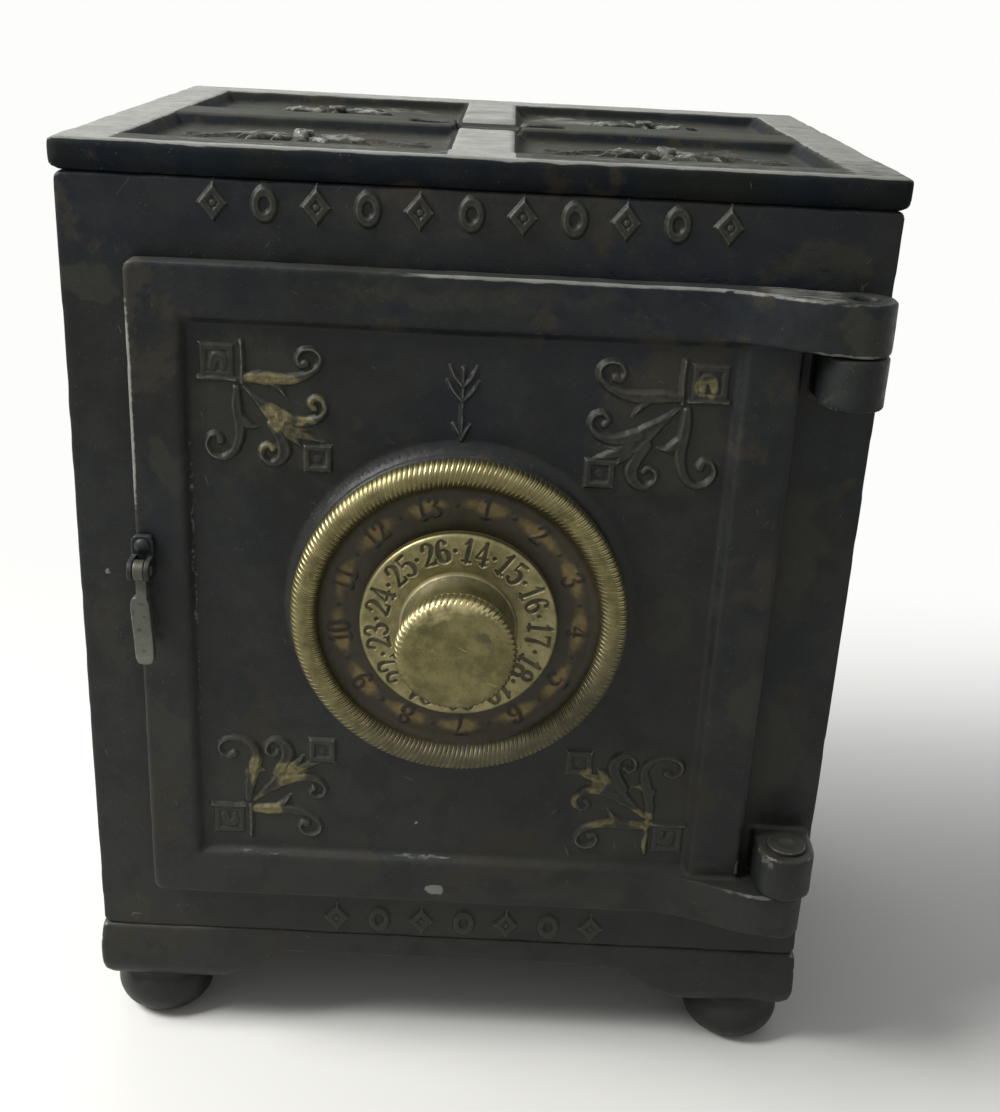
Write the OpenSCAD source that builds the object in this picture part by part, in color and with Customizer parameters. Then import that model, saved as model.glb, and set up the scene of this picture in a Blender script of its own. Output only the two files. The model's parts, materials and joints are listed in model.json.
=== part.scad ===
// Toy safe coin bank: a box of cast-iron panels held by two tie rods, with a hinged door,
// a drop handle and a double combination dial that turns two notched lock wheels.
// Millimetres. X is to the right, Y to the back and Z up. The origin is under the middle of the
// whole object, on the surface that it stands on.

/* [Body] */
// Width of the cast body
body_w = 120; // [114:1:128]
// Depth of the body, front face to back face
body_d = 97; // [90:1:110]
// Height of the four walls, from base to top plate
wall_h = 127.3; // [126:0.1:134]
// Thickness of the front casting
front_t = 4; // [3.6:0.1:4.2]
// Thickness of the side and back castings
side_t = 3.5; // [3:0.1:4]
// Depth of the sunk fields in the sides and the back
field_depth = 1.2; // [0.6:0.1:1.6]

/* [Top plate] */
// Thickness of the top plate
top_t = 4.7; // [4.2:0.1:6]
// Overhang of the top plate past the walls
top_over = 0.8; // [0.4:0.1:1.5]
// Width of the rim around the four sunk fields
top_rim = 8.5; // [7:0.5:10]
// Width of the rib that runs from front to back
top_rib = 9; // [8:0.5:11]
// Width of the rib that runs from left to right and holds the coin slot
cross_rib = 11; // [10:0.5:13]
// Depth of the sunk fields
top_field_depth = 2.2; // [1:0.1:2.4]
// Width of the coin slot
slot_w = 4.4; // [4.2:0.1:5]
// Length of the coin slot, left to right
slot_l = 26; // [22:1:30]

/* [Base] */
// Height of the base, from the feet to the walls
base_h = 21; // [20:0.5:24]
// Height of the ball feet
foot_h = 10; // [9.6:0.2:12]
// Radius of the ball feet
foot_r = 8.5; // [7:0.1:8.8]
// Height of the apron in the middle of each side
apron_h = 4.2; // [3.6:0.2:5]
// Thickness of the base floor
floor_t = 3.2; // [2.6:0.2:3.6]

/* [Door] */
// Width of the door slab
door_w = 97.7; // [94:0.1:98]
// Height of the door slab
door_h = 106.1; // [104:0.1:108]
// How far the door's face stands out of the body
door_out = 3.8; // [3.4:0.1:4.4]
// Width of the door's sunk field
field_w = 82.3; // [78:0.1:84]
// Height of the door's sunk field
field_h = 90.9; // [86:0.1:93]
// Depth of the door's sunk field
door_field_depth = 1.4; // [0.8:0.1:1.6]
// Height of the door's middle above the walls' foot
door_mid = 63; // [62.5:0.1:63.5]

/* [Hinges] */
// Distance of the hinge pins in front of the body
hinge_out = 5.5; // [5.2:0.1:6]
// Distance of the hinge pins to the right of the middle
hinge_x = 54.7; // [54:0.1:55]
// Radius of the hinge knuckles
knuckle_r = 4.7; // [4.4:0.1:4.8]
// Radius of the lower arm's round end
lower_arm_r = 3.7; // [3.4:0.1:4.7]
// Height of each knuckle
knuckle_h = 7.6; // [7:0.1:7.8]
// Radius of the hinge pins
pin_r = 2.1; // [1.8:0.1:2.4]

/* [Combination dial] */
// Radius of the outer dial
dial_r = 25.8; // [25:0.1:26.4]
// Radius of the inner dial
inner_r = 15.1; // [14:0.1:16]
// Radius of the knob's knurled head
knob_r = 9; // [8.5:0.1:9.6]
// How far the knob stands out of the body
knob_out = 19.7; // [18.6:0.1:20.4]
// Ridges around the knob
knob_ridges = 60; // [40:4:80]

/* [Lock] */
// Radius of the two notched wheels
wheel_r = 22; // [20:0.5:23]
// Thickness of the notched wheels
wheel_t = 2; // [1.6:0.1:2.2]
// Width of the notch that lets the catch through
notch_w = 6.6; // [6.2:0.1:7.4]
// Height of the catch bar
catch_h = 5; // [4:0.1:5.2]

/* [Handle] */
// Length of the drop handle below its pin
handle_l = 14.9; // [12:0.1:16]
// Width of the drop handle's thumb piece
handle_w = 3; // [2.6:0.1:3.2]

/* [Hidden] */
$fn = 64;

iron = [0.10, 0.105, 0.12];
steel = [0.36, 0.36, 0.37];
brass = [0.62, 0.54, 0.30];

eps = 0.01;
past = 1;                                  // how far a cutting shape runs past the face that it cuts
front_y = -(body_d + top_over - knob_out) / 2;
wall_top = base_h + wall_h;

// Base
edge_out = 0.75;                           // bulge of the base moulding past the walls
edge_in = 0.6;                             // how far the moulding draws in above the feet
edge_drop = 0.5;                           // how far it draws in again under the walls
pier_w = 18;                               // corner pier above each foot
apron_t = 4.5;
arch_run = 14;                             // length of the curve from a pier to the apron's middle
foot_in = 8.4;                             // foot centre from the body's faces
foot_neck_r = 7.1;                         // of the stem that joins a foot to the base
rim_t = 2.5;                               // locating rims on base and top, inside the walls
rim_h = 3;
rim_gap = 0.2;

// Walls
wall_corner = 0.8;
panel_margin = 10;                         // plain border around the sunk fields of the sides and the back

// Tie rods
rod_x = body_w / 2 - 10;
rod_r = 2;
rod_hole_r = 2.25;
rod_head_r = 3.6;
rod_head_h = 2.2;
boss_r = 5;
boss_h = 8;
rod_bite = 1;                              // how far a rod's end goes into the plate above its boss

// Door and opening
door_x = -1.15;                               // the door sits a little left of the middle
seat_gap = 0.3;                            // between the door slab and the front casting
lap = 4.2;                                 // door slab past the opening, all round
opening_w = door_w - 2 * lap;
opening_h = door_h - 2 * lap - 0.6;
opening_corner = 2;
plug_gap = 0.8;
plug_w = opening_w - 2 * plug_gap;
plug_h = opening_h - 2 * plug_gap;
plug_t = 3;
plug_depth = 3.2;
plug_corner = 1.5;
door_corner = 1.5;
field_slope = 1.3;
field_x = -0.2;                            // the sunk field sits a little left in the door

// Hinges
hinge_gap = 0.3;
pin_gap = 0.05;
arm_run = 14;                              // length over which an arm swells out of the door
upper_arm_top = door_mid + door_h / 2;
lower_arm_foot = door_mid - door_h / 2;

// Dial and lock, measured from the body's front face, front is negative
dial_x = -0.4;
dial_z = 64.1;
dial_boss_r = 26.7;
dial_boss_y = -4.4;
dial_back = dial_boss_y - 0.3;
plate_t = 1.5;
dial_face = dial_back - plate_t;
rim_r = 2.1;                               // half-round rim of the outer dial
rim_y = dial_back - 2;
cove_r = 1.8;                              // between the channel's floor and the rim
hub_r = 8;                                 // hub that holds the inner disc off the channel
inner_back = dial_face - 0.3;
disc_back = inner_back - 1.1;
inner_face = disc_back - 1.7;
disc_round = 0.5;
spindle_in = 6;                            // how far the spindle goes into the knob
sleeve_r = 4;
sleeve_lip = 0.9;                          // flange behind the outer lock wheel
spindle_r = 2.55;
bore_gap = 0.05;
sleeve_bore = spindle_r + bore_gap;
back_boss_r = 9;
back_boss_y = 4.5;
wheel1_y = 7.3;
wheel2_y = 11.4;
sleeve_end = wheel1_y + wheel_t + 0.5;
hub2_y = sleeve_end + 0.3;
nut_t = 2.4;
nut_r = 4.3;
notch_d = 9;
catch_y = front_t;
catch_t = 2.5;
catch_reach = 5.5;                         // how far the catch's tip goes into the wheels' notches
catch_tip = dial_x - wheel_r + catch_reach;
catch_round = 1;
foot_w = 9;
foot_len = 17;
foot_round = 1.5;
screw_r = 1.5;
screw_head_r = 2.5;
screw_head_h = 1.6;
screw_y = 1.2;                             // where the screw holes in the front casting end
screw_dz = 5.6;
screw_slot = 0.8;                          // slot across the heads of screws and rods
jamb_x = door_x - opening_w / 2;
catch_foot_x = jamb_x - foot_w / 2 - 1;

// Handle, measured as the dial
handle_x = -48.8;
handle_z = 69.9;
handle_y = -7;
eye_r = 1.6;
handle_pin_r = 0.8;
ear_t = 0.8;
ear_gap = 0.1;
bracket_w = 3.4;
bracket_top = 74.6;
bracket_foot = 67.5;
bracket_t = 1.1;
bracket_round = 1;
rivet_z = 73;
rivet_r = 0.7;
rivet_head_r = 1.2;
rivet_dome = 1.5;                          // radius of the rivet's domed head
rivet_end = 0.9;                           // how far from the body's front the rivet's hole ends

// Places what follows at the foot of the front face, middle of the width
module at_front() { translate([0, front_y, base_h]) children(); }

// Places what follows at the foot of the walls, middle of the body
module at_middle() { translate([0, front_y + body_d / 2, base_h]) children(); }

// Gives a drawing in X and Z a depth from y0 to y1
module deep(y0, y1) { translate([0, y1, 0]) rotate([90, 0, 0]) linear_extrude(y1 - y0) children(); }

// Gives a drawing in Y and Z a length from x0 to x1
module long(x0, x1) { translate([x0, 0, 0]) rotate([90, 0, 90]) linear_extrude(x1 - x0) children(); }

// Turned shape about an axis along Y; the drawing is in radius and depth
module turned() { rotate([-90, 0, 0]) rotate_extrude() children(); }

// Disc or bore about an axis along Y
module round_y(r, y0, y1) { translate([0, y0, 0]) rotate([-90, 0, 0]) cylinder(r = r, h = y1 - y0); }

// Drawn rectangle with round corners, centred
module rounded(w, h, r) {
    square([w - 2 * r, h], center = true);
    square([w, h - 2 * r], center = true);
    for (sx = [-1, 1], sy = [-1, 1])
        translate([sx * (w / 2 - r), sy * (h / 2 - r)]) circle(r);
}

// Sunk field with sloping walls and mitred corners, open upwards at z = 0, centred
function field_profile(w, d, s) =
    [[-w / 2, past], [w / 2, past], [w / 2, 0], [w / 2 - s, -d], [s - w / 2, -d], [-w / 2, 0]];
module field(w, h, d, s) {
    intersection() {
        rotate([90, 0, 0]) linear_extrude(h + past, center = true) polygon(field_profile(w, d, s));
        rotate([90, 0, 90]) linear_extrude(w + past, center = true) polygon(field_profile(h, d, s));
    }
}

// Base moulding: half width at a height, a soft bulge that draws in above the feet
bulge_z = 14.5;
function edge_at(z) = z > bulge_z
    ? edge_out - edge_drop * pow((z - bulge_z) / (base_h - bulge_z), 2)
    : edge_out - (edge_out + edge_in) * pow((bulge_z - z) / (bulge_z - foot_h), 3);
edge_steps = 8;
edge_z = [for (i = [0 : edge_steps]) foot_h + (base_h - foot_h) * i / edge_steps];
function edge_profile(w) = concat(
    [for (z = edge_z) [w / 2 + edge_at(z), z]],
    [for (i = [edge_steps : -1 : 0]) [-w / 2 - edge_at(edge_z[i]), edge_z[i]]]);

// Arched gap under the base between two piers: flat in the middle, a double curve at each end
arch_steps = 8;
arch_rise = base_h - apron_h - foot_h;
function ease(t) = t * t * (3 - 2 * t);
function arch_at(i) = [arch_run * i / arch_steps, foot_h + arch_rise * ease(i / arch_steps)];
function arch_profile(half) = concat(
    [[-half, -past], [half, -past]],
    [for (i = [0 : arch_steps]) [half - arch_at(i)[0], arch_at(i)[1]]],
    [for (i = [arch_steps : -1 : 0]) [arch_at(i)[0] - half, arch_at(i)[1]]]);

// Ball foot, standing on z = 0
module ball_foot() {
    r = foot_h / 2;
    rotate_extrude() {
        intersection() {
            translate([foot_r - r, r]) circle(r);
            square([foot_r + past, foot_h]);
        }
        square([foot_r - r, foot_h]);
        translate([0, foot_h / 2]) square([foot_neck_r, foot_h / 2 + floor_t]);
    }
}

// Rectangular locating rim inside the walls, from z0 to z1, centred on the body
module locating_rim(z0, z1) {
    w = body_w - 2 * (side_t + rim_gap);
    y0 = -body_d / 2 + front_t + rim_gap;
    y1 = body_d / 2 - side_t - rim_gap;
    translate([0, (y0 + y1) / 2, z0]) linear_extrude(z1 - z0) difference() {
        square([w, y1 - y0], center = true);
        square([w - 2 * rim_t, y1 - y0 - 2 * rim_t], center = true);
    }
}

module base() color(iron) {
    translate([0, front_y + body_d / 2, 0]) {
        difference() {
            intersection() {
                deep(-body_d, body_d) polygon(edge_profile(body_w));
                long(-body_w, body_w) polygon(edge_profile(body_d));
            }
            translate([0, 0, (base_h - floor_t) / 2]) cube([body_w - 2 * apron_t, body_d - 2 * apron_t,
                base_h - floor_t], center = true);
            deep(-body_d, body_d) polygon(arch_profile(body_w / 2 - pier_w));
            long(-body_w, body_w) polygon(arch_profile(body_d / 2 - pier_w));
            for (sx = [-1, 1]) translate([sx * rod_x, 0, 0]) cylinder(r = rod_hole_r, h = base_h + past);
        }
        for (sx = [-1, 1], sy = [-1, 1])
            translate([sx * (body_w / 2 - foot_in), sy * (body_d / 2 - foot_in), 0]) ball_foot();
        locating_rim(base_h - eps, base_h + rim_h);
    }
}

// Hinge knuckle of the front casting, with its web back to the wall
module body_knuckle(z0) {
    translate([0, 0, z0]) linear_extrude(knuckle_h) difference() {
        union() {
            translate([hinge_x, -hinge_out]) circle(knuckle_r);
            translate([hinge_x - knuckle_r, -hinge_out]) square([2 * knuckle_r, hinge_out + eps]);
        }
        translate([hinge_x, -hinge_out]) circle(pin_r);
    }
}
upper_knuckle_z = upper_arm_top - 2 * knuckle_h - hinge_gap;
lower_knuckle_z = lower_arm_foot + knuckle_h + hinge_gap;

module front_frame() color(iron) at_front() {
    difference() {
        deep(0, front_t) difference() {
            translate([0, wall_h / 2]) rounded(body_w, wall_h, wall_corner);
            translate([door_x, door_mid]) rounded(opening_w, opening_h, opening_corner);
        }
        for (dz = [-screw_dz, screw_dz])
            translate([catch_foot_x, 0, dial_z + dz]) round_y(screw_r, screw_y, front_t + past);
    }
    body_knuckle(upper_knuckle_z);
    body_knuckle(lower_knuckle_z);
}

module back_panel() color(iron) at_front() difference() {
    deep(body_d - side_t, body_d) translate([0, wall_h / 2]) rounded(body_w, wall_h, wall_corner);
    translate([0, body_d, wall_h / 2]) rotate([-90, 0, 0])
        field(body_w - 2 * panel_margin, wall_h - 2 * panel_margin, field_depth, field_slope);
}

// Side casting, drawn as the right one, x measured from the body's outer face
module side_plate() {
    y0 = front_t;
    y1 = body_d - side_t;
    difference() {
        translate([-side_t, y0, 0]) cube([side_t, y1 - y0, wall_h]);
        translate([0, (y0 + y1) / 2, wall_h / 2]) rotate([0, 90, 0])
            field(wall_h - 2 * panel_margin, body_d - 2 * panel_margin, field_depth, field_slope);
    }
}
module right_side() color(iron) at_front() translate([body_w / 2, 0, 0]) side_plate();
module left_side() color(iron) at_front() mirror([1, 0, 0]) translate([body_w / 2, 0, 0]) side_plate();

// Section of the top plate: small round above, larger round below, on both edges
lip_top_r = 1;
lip_low_r = 2;
module lip_section(w) {
    polygon([[-w / 2 + lip_low_r, 0], [w / 2 - lip_low_r, 0], [w / 2, lip_low_r],
        [w / 2, top_t - lip_top_r], [w / 2 - lip_top_r, top_t], [-w / 2 + lip_top_r, top_t],
        [-w / 2, top_t - lip_top_r], [-w / 2, lip_low_r]]);
    for (s = [-1, 1]) {
        translate([s * (w / 2 - lip_low_r), lip_low_r]) circle(lip_low_r);
        translate([s * (w / 2 - lip_top_r), top_t - lip_top_r]) circle(lip_top_r);
    }
}
top_corner = 1.6;
top_slope = 1.6;                           // of the sunk fields' walls
top_w = body_w + 2 * top_over;
top_d = body_d + 2 * top_over;
top_field_w = (top_w - 2 * top_rim - top_rib) / 2;
top_field_d = (top_d - 2 * top_rim - cross_rib) / 2;
saddle_l = 19;                             // the front-to-back rib dips at the coin slot
saddle_depth = 1.2;
saddle_slope = 3.6;

module top_plate() color(iron) translate([0, front_y + body_d / 2, wall_top]) {
    difference() {
        union() {
            intersection() {
                deep(-top_d / 2 - past, top_d / 2 + past) lip_section(top_w);
                long(-top_w / 2 - past, top_w / 2 + past) lip_section(top_d);
                linear_extrude(top_t) rounded(top_w, top_d, top_corner);
            }
            locating_rim(-rim_h, eps);
            for (sx = [-1, 1]) translate([sx * rod_x, 0, -boss_h]) cylinder(r = boss_r, h = boss_h + eps);
        }
        for (sx = [-1, 1], sy = [-1, 1])
            translate([sx * (top_rib + top_field_w) / 2, sy * (cross_rib + top_field_d) / 2, top_t])
                field(top_field_w, top_field_d, top_field_depth, top_slope);
        long(-top_rib / 2 - past, top_rib / 2 + past) translate([0, top_t])
            polygon(field_profile(saddle_l, saddle_depth, saddle_slope));
        translate([0, 0, -past]) linear_extrude(top_t + 2 * past) rounded(slot_l, slot_w, 1);
        for (sx = [-1, 1]) translate([sx * rod_x, 0, -boss_h - past])
            cylinder(r = rod_r, h = boss_h + past + rod_bite);
    }
}

module tie_rods() color(steel) at_middle() for (sx = [-1, 1]) translate([sx * rod_x, 0, 0]) {
    translate([0, 0, -floor_t]) cylinder(r = rod_r, h = wall_h + floor_t + rod_bite);
    difference() {
        translate([0, 0, -floor_t - rod_head_h]) cylinder(r = rod_head_r, h = rod_head_h);
        translate([-rod_head_r, -screw_slot / 2, -floor_t - rod_head_h - past])
            cube([2 * rod_head_r, screw_slot, 1 + past]);
    }
}

// Flat bar on the back of the front casting; its tip reaches in front of both lock wheels
module catch_bar() color(steel) at_front() difference() {
    deep(catch_y, catch_y + catch_t) {
        translate([catch_foot_x, dial_z]) rounded(foot_w, foot_len, foot_round);
        translate([catch_foot_x, dial_z - catch_h / 2])
            square([catch_tip - catch_foot_x - catch_round, catch_h]);
        translate([catch_tip - 2 * catch_round, dial_z]) rounded(4 * catch_round, catch_h, catch_round);
    }
    for (dz = [-screw_dz, screw_dz])
        translate([catch_foot_x, 0, dial_z + dz])
            round_y(screw_r, catch_y - past, catch_y + catch_t + past);
}

module catch_screws() color(steel) at_front() for (dz = [-screw_dz, screw_dz])
    translate([catch_foot_x, 0, dial_z + dz]) {
        round_y(screw_r, screw_y + 0.2, catch_y + catch_t + eps);
        difference() {
            round_y(screw_head_r, catch_y + catch_t, catch_y + catch_t + screw_head_h);
            translate([-screw_head_r, catch_y + catch_t + screw_head_h / 2, -screw_slot / 2])
                cube([2 * screw_head_r, past, screw_slot]);
        }
    }

module upper_hinge_pin() color(steel) at_front() translate([hinge_x, -hinge_out, upper_knuckle_z])
    cylinder(r = pin_r, h = 2 * knuckle_h + hinge_gap - pin_inset);

pin_inset = 1.2;                           // how far a pin's end lies inside the arm or the knuckle
pin_head_r = 3.1;
pin_head_h = 0.7;
pin_dish_r = 2.2;                          // of the hollow in the lower pin's head
module lower_hinge_pin() color(steel) at_front() translate([hinge_x, -hinge_out, 0]) {
    top = lower_knuckle_z + knuckle_h;
    foot = lower_arm_foot + pin_inset;
    translate([0, 0, foot]) cylinder(r = pin_r, h = top - foot + eps);
    difference() {
        translate([0, 0, top]) cylinder(r = pin_head_r, h = pin_head_h);
        translate([0, 0, top + pin_head_h + pin_dish_r - 0.6]) sphere(pin_dish_r);
    }
}

// Plan of a hinge arm: swells out of the door's face and ends round about the pin
arm_steps = 8;
arm_root = door_x + door_w / 2 - arm_run;
arm_side = hinge_x - 1.2;
arm_end = door_x + door_w / 2 - 1;         // where the arm's back leaves the door slab
arm_slim = 1.1;                            // how much nearer to the pin the arm's back is than its front
function arm_front(t, r) = -door_out - (hinge_out + r - 0.15 - door_out) * ease(t);
module arm_plan(r) {
    polygon(concat(
        [for (i = [0 : arm_steps])
            [arm_root + (arm_side - arm_root) * i / arm_steps, arm_front(i / arm_steps, r)]],
        [[arm_side, -hinge_out], [arm_side, r - arm_slim - hinge_out], [arm_end, -seat_gap],
            [arm_root, -seat_gap]]));
    translate([hinge_x, -hinge_out]) circle(r);
}
module door_arm(z0, r) {
    translate([0, 0, z0]) linear_extrude(knuckle_h) arm_plan(r);
}

module door() color(iron) at_front() difference() {
    union() {
        difference() {
            deep(-door_out, -seat_gap) translate([door_x, door_mid]) rounded(door_w, door_h, door_corner);
            translate([door_x + field_x, -door_out, door_mid]) rotate([90, 0, 0])
                field(field_w, field_h, door_field_depth, field_slope);
        }
        deep(-seat_gap - eps, plug_depth) translate([door_x, door_mid]) difference() {
            rounded(plug_w, plug_h, plug_corner);
            square([plug_w - 2 * plug_t, plug_h - 2 * plug_t], center = true);
        }
        door_arm(upper_arm_top - knuckle_h, knuckle_r);
        door_arm(lower_arm_foot, lower_arm_r);
        translate([dial_x, 0, dial_z]) {
            round_y(dial_boss_r, dial_boss_y, -seat_gap);
            round_y(back_boss_r, -seat_gap - eps, back_boss_y);
        }
    }
    translate([dial_x, 0, dial_z]) round_y(sleeve_r + bore_gap, dial_boss_y - past, back_boss_y + past);
    translate([hinge_x, -hinge_out, -past]) cylinder(r = pin_r + pin_gap, h = wall_h + 2 * past);
    translate([handle_x, 0, rivet_z]) round_y(rivet_r, -door_out - past, -rivet_end);
}

module at_handle() { at_front() translate([handle_x, 0, 0]) children(); }

// Lug for the drop handle: a pad on the door with two ears about the pin
module handle_bracket() color(iron) at_handle() difference() {
    union() {
        deep(-door_out - bracket_t, -door_out) translate([0, (bracket_top + bracket_foot) / 2])
            rounded(bracket_w, bracket_top - bracket_foot, bracket_round);
        for (x0 = [-bracket_w / 2, bracket_w / 2 - ear_t]) long(x0, x0 + ear_t) {
            translate([handle_y, handle_z]) circle(eye_r);
            translate([handle_y, handle_z - eye_r])
                square([-door_out - bracket_t - handle_y + eps, 2 * eye_r]);
        }
    }
    long(-bracket_w, bracket_w) translate([handle_y, handle_z]) circle(handle_pin_r);
    translate([0, 0, rivet_z]) round_y(rivet_r, -door_out - bracket_t - past, -door_out + past);
}

module handle_rivet() color(steel) at_handle() translate([0, 0, rivet_z]) {
    round_y(rivet_r, -door_out - bracket_t - eps, -rivet_end - 0.1);
    intersection() {
        translate([0, -door_out - bracket_t + rivet_dome / 2, 0]) sphere(rivet_dome);
        round_y(rivet_head_r, -door_out - bracket_t - rivet_dome, -door_out - bracket_t);
    }
}

module handle_pin() color(steel) at_handle() long(-bracket_w / 2, bracket_w / 2)
    translate([handle_y, handle_z]) circle(handle_pin_r);

// Drop handle: an eye on the pin, a narrow neck and a thumb piece that turns out at its foot
thumb_top = handle_z - 4.6;
thumb_foot = handle_z - handle_l;
thumb_t = 1.6;
thumb_back = 0.9;                          // how far behind the pin the thumb piece starts
thumb_turn = 2.2;                          // how far its foot turns out
function thumb_y(t) = handle_y + thumb_back - thumb_turn * pow(t, 3);
thumb_steps = 8;

// Front view of the thumb piece: squarish with round corners, bent to the right at its foot
outline_steps = 32;
thumb_lean = 1;
thumb_left = 0.35;                         // how far left of the pin's middle its top starts
function squared(v, n) = sign(v) * pow(abs(v), 2 / n);
function thumb_point(a) = let (up = squared(sin(a), 7))
    [handle_w / 2 * squared(cos(a), 4) + thumb_lean * pow((1 - up) / 2, 2) - thumb_left,
        (thumb_top + thumb_foot) / 2 + (thumb_top - thumb_foot) / 2 * up];
module thumb_outline() polygon([for (i = [0 : outline_steps - 1]) thumb_point(360 * i / outline_steps)]);
module thumb_section() {
    top = thumb_top;
    z = [for (i = [0 : thumb_steps]) top + (thumb_foot - top) * i / thumb_steps];
    polygon(concat(
        [for (i = [0 : thumb_steps]) [thumb_y(i / thumb_steps) - thumb_t / 2, z[i]]],
        [for (i = [thumb_steps : -1 : 0]) [thumb_y(i / thumb_steps) + thumb_t / 2, z[i]]]));
}
module drop_handle() color(steel) at_handle() {
    eye_w = bracket_w - 2 * (ear_t + ear_gap);
    difference() {
        union() {
            long(-eye_w / 2, eye_w / 2) {
                translate([handle_y, handle_z]) circle(eye_r);
                translate([thumb_y(0) - thumb_t / 2, thumb_top - thumb_t / 2])
                    square([thumb_t, handle_z - thumb_top + thumb_t / 2]);
            }
            intersection() {
                long(-handle_w, handle_w) thumb_section();
                deep(handle_y - 2 * thumb_turn, handle_y + 2 * thumb_turn) thumb_outline();
            }
        }
        long(-handle_w, handle_w) translate([handle_y, handle_z]) circle(handle_pin_r + pin_gap);
    }
}

module at_dial() { at_front() translate([dial_x, 0, dial_z]) children(); }

// Dished outer dial: flat plate, coved channel and a half-round rim
module outer_dial() color(brass) at_dial() turned() {
    mid = dial_r - rim_r;
    translate([sleeve_r, dial_face]) square([mid - sleeve_r, plate_t]);
    translate([mid, rim_y]) circle(rim_r);
    translate([mid - rim_r, rim_y]) square([2 * rim_r, dial_back - rim_y]);
    translate([mid - rim_r - cove_r + 0.3, 0]) difference() {
        translate([0, dial_face - cove_r + 0.2]) square([cove_r + eps, cove_r]);
        translate([0, dial_face - cove_r]) circle(cove_r);
    }
}

module dial_sleeve() color(brass) at_dial() difference() {
    union() {
        round_y(sleeve_r, dial_face, sleeve_end);
        round_y(sleeve_r + sleeve_lip, wheel1_y + wheel_t, sleeve_end);
    }
    round_y(sleeve_bore, dial_face - past, sleeve_end + past);
}

// Notched wheel with its hub, about the dial's axis; the notch points left at rest
module lock_wheel(y, hub_y, hub_r, bore) difference() {
    union() {
        round_y(wheel_r, y, y + wheel_t);
        round_y(hub_r, hub_y, y + eps);
    }
    round_y(bore, hub_y - past, y + wheel_t + past);
    translate([-wheel_r - past, y - past, -notch_w / 2])
        cube([notch_d + past, wheel_t + 2 * past, notch_w]);
}
module outer_lock_wheel() color(brass) at_dial() lock_wheel(wheel1_y, back_boss_y + 1.1, 6.2, sleeve_r);
module inner_lock_wheel() color(brass) at_dial() lock_wheel(wheel2_y, hub2_y, 5.6, spindle_r);

// Dished washer that gives the dials their drag
module spring_washer() color(steel) at_dial() turned()
    polygon([[4.2, back_boss_y + 0.6], [8, back_boss_y + 0.3],
        [8, back_boss_y + 0.8], [4.2, back_boss_y + 1.1]]);

// Inner dial: a thin disc with a soft front edge on a narrower hub
module inner_dial() color(brass) at_dial() turned() {
    translate([spindle_r, disc_back - eps]) square([hub_r - spindle_r, inner_back - disc_back + eps]);
    translate([spindle_r, inner_face + disc_round])
        square([inner_r - spindle_r, disc_back - inner_face - disc_round]);
    translate([spindle_r, inner_face]) square([inner_r - disc_round - spindle_r, 2 * disc_round]);
    translate([inner_r - disc_round, inner_face + disc_round]) circle(disc_round);
}

// Knob: waisted neck, knurled head with a soft edge and a slightly domed face
neck_r = 7.7;
neck_flare = 1.2;
head_h = 3.9;
neck_end = head_h - knob_out;
head_round = 1.2;
dome_h = 0.25;
knob_steps = 8;
function neck_at(t) =
    [neck_r + neck_flare * pow(2 * t - 1.15, 2), inner_face + (neck_end - inner_face) * t];
function soft_edge(a) =
    [knob_r - head_round + head_round * cos(a), dome_h - knob_out + head_round * (1 - sin(a))];
function dome_at(t) = [(knob_r - head_round) * t, dome_h * t * t - knob_out];
knob_profile = concat([[0, inner_face]],
    [for (i = [0 : knob_steps]) neck_at(i / knob_steps)],
    [[knob_r, neck_end]],
    [for (i = [0 : knob_steps]) soft_edge(90 * i / knob_steps)],
    [for (i = [knob_steps - 1 : -1 : 0]) dome_at(i / knob_steps)]);
ridge_cut = 0.5;
ridge_slant = 20;
module knob() color(brass) at_dial() difference() {
    turned() polygon(knob_profile);
    round_y(spindle_r, inner_face - spindle_in - 0.1, inner_face + past);
    for (i = [0 : knob_ridges - 1]) rotate([0, i * 360 / knob_ridges, 0])
        translate([knob_r + 0.1, neck_end - head_h / 2, 0])
            rotate([ridge_slant, 0, 0]) rotate([0, 45, 0])
                cube([ridge_cut, head_h + 3, ridge_cut], center = true);
}

module spindle() color(steel) at_dial()
    round_y(spindle_r, inner_face - spindle_in, wheel2_y + wheel_t + nut_t + 0.4);

module spindle_nut() color(steel) at_dial() difference() {
    translate([0, wheel2_y + wheel_t, 0]) rotate([-90, 0, 0]) cylinder(r = nut_r, h = nut_t, $fn = 6);
    round_y(spindle_r, wheel2_y, wheel2_y + wheel_t + nut_t + past);
}

base();
front_frame();
back_panel();
left_side();
right_side();
top_plate();
tie_rods();
catch_bar();
catch_screws();
upper_hinge_pin();
lower_hinge_pin();
door();
handle_bracket();
handle_rivet();
handle_pin();
drop_handle();
outer_dial();
dial_sleeve();
outer_lock_wheel();
spring_washer();
inner_dial();
knob();
spindle();
inner_lock_wheel();
spindle_nut();
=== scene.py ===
"""Looks of a cast-iron toy safe: worn black castings, gilt relief and a brass double dial."""

import json
import math

import bmesh
import bpy
import numpy as np
from mathutils import Matrix, Vector


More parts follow.
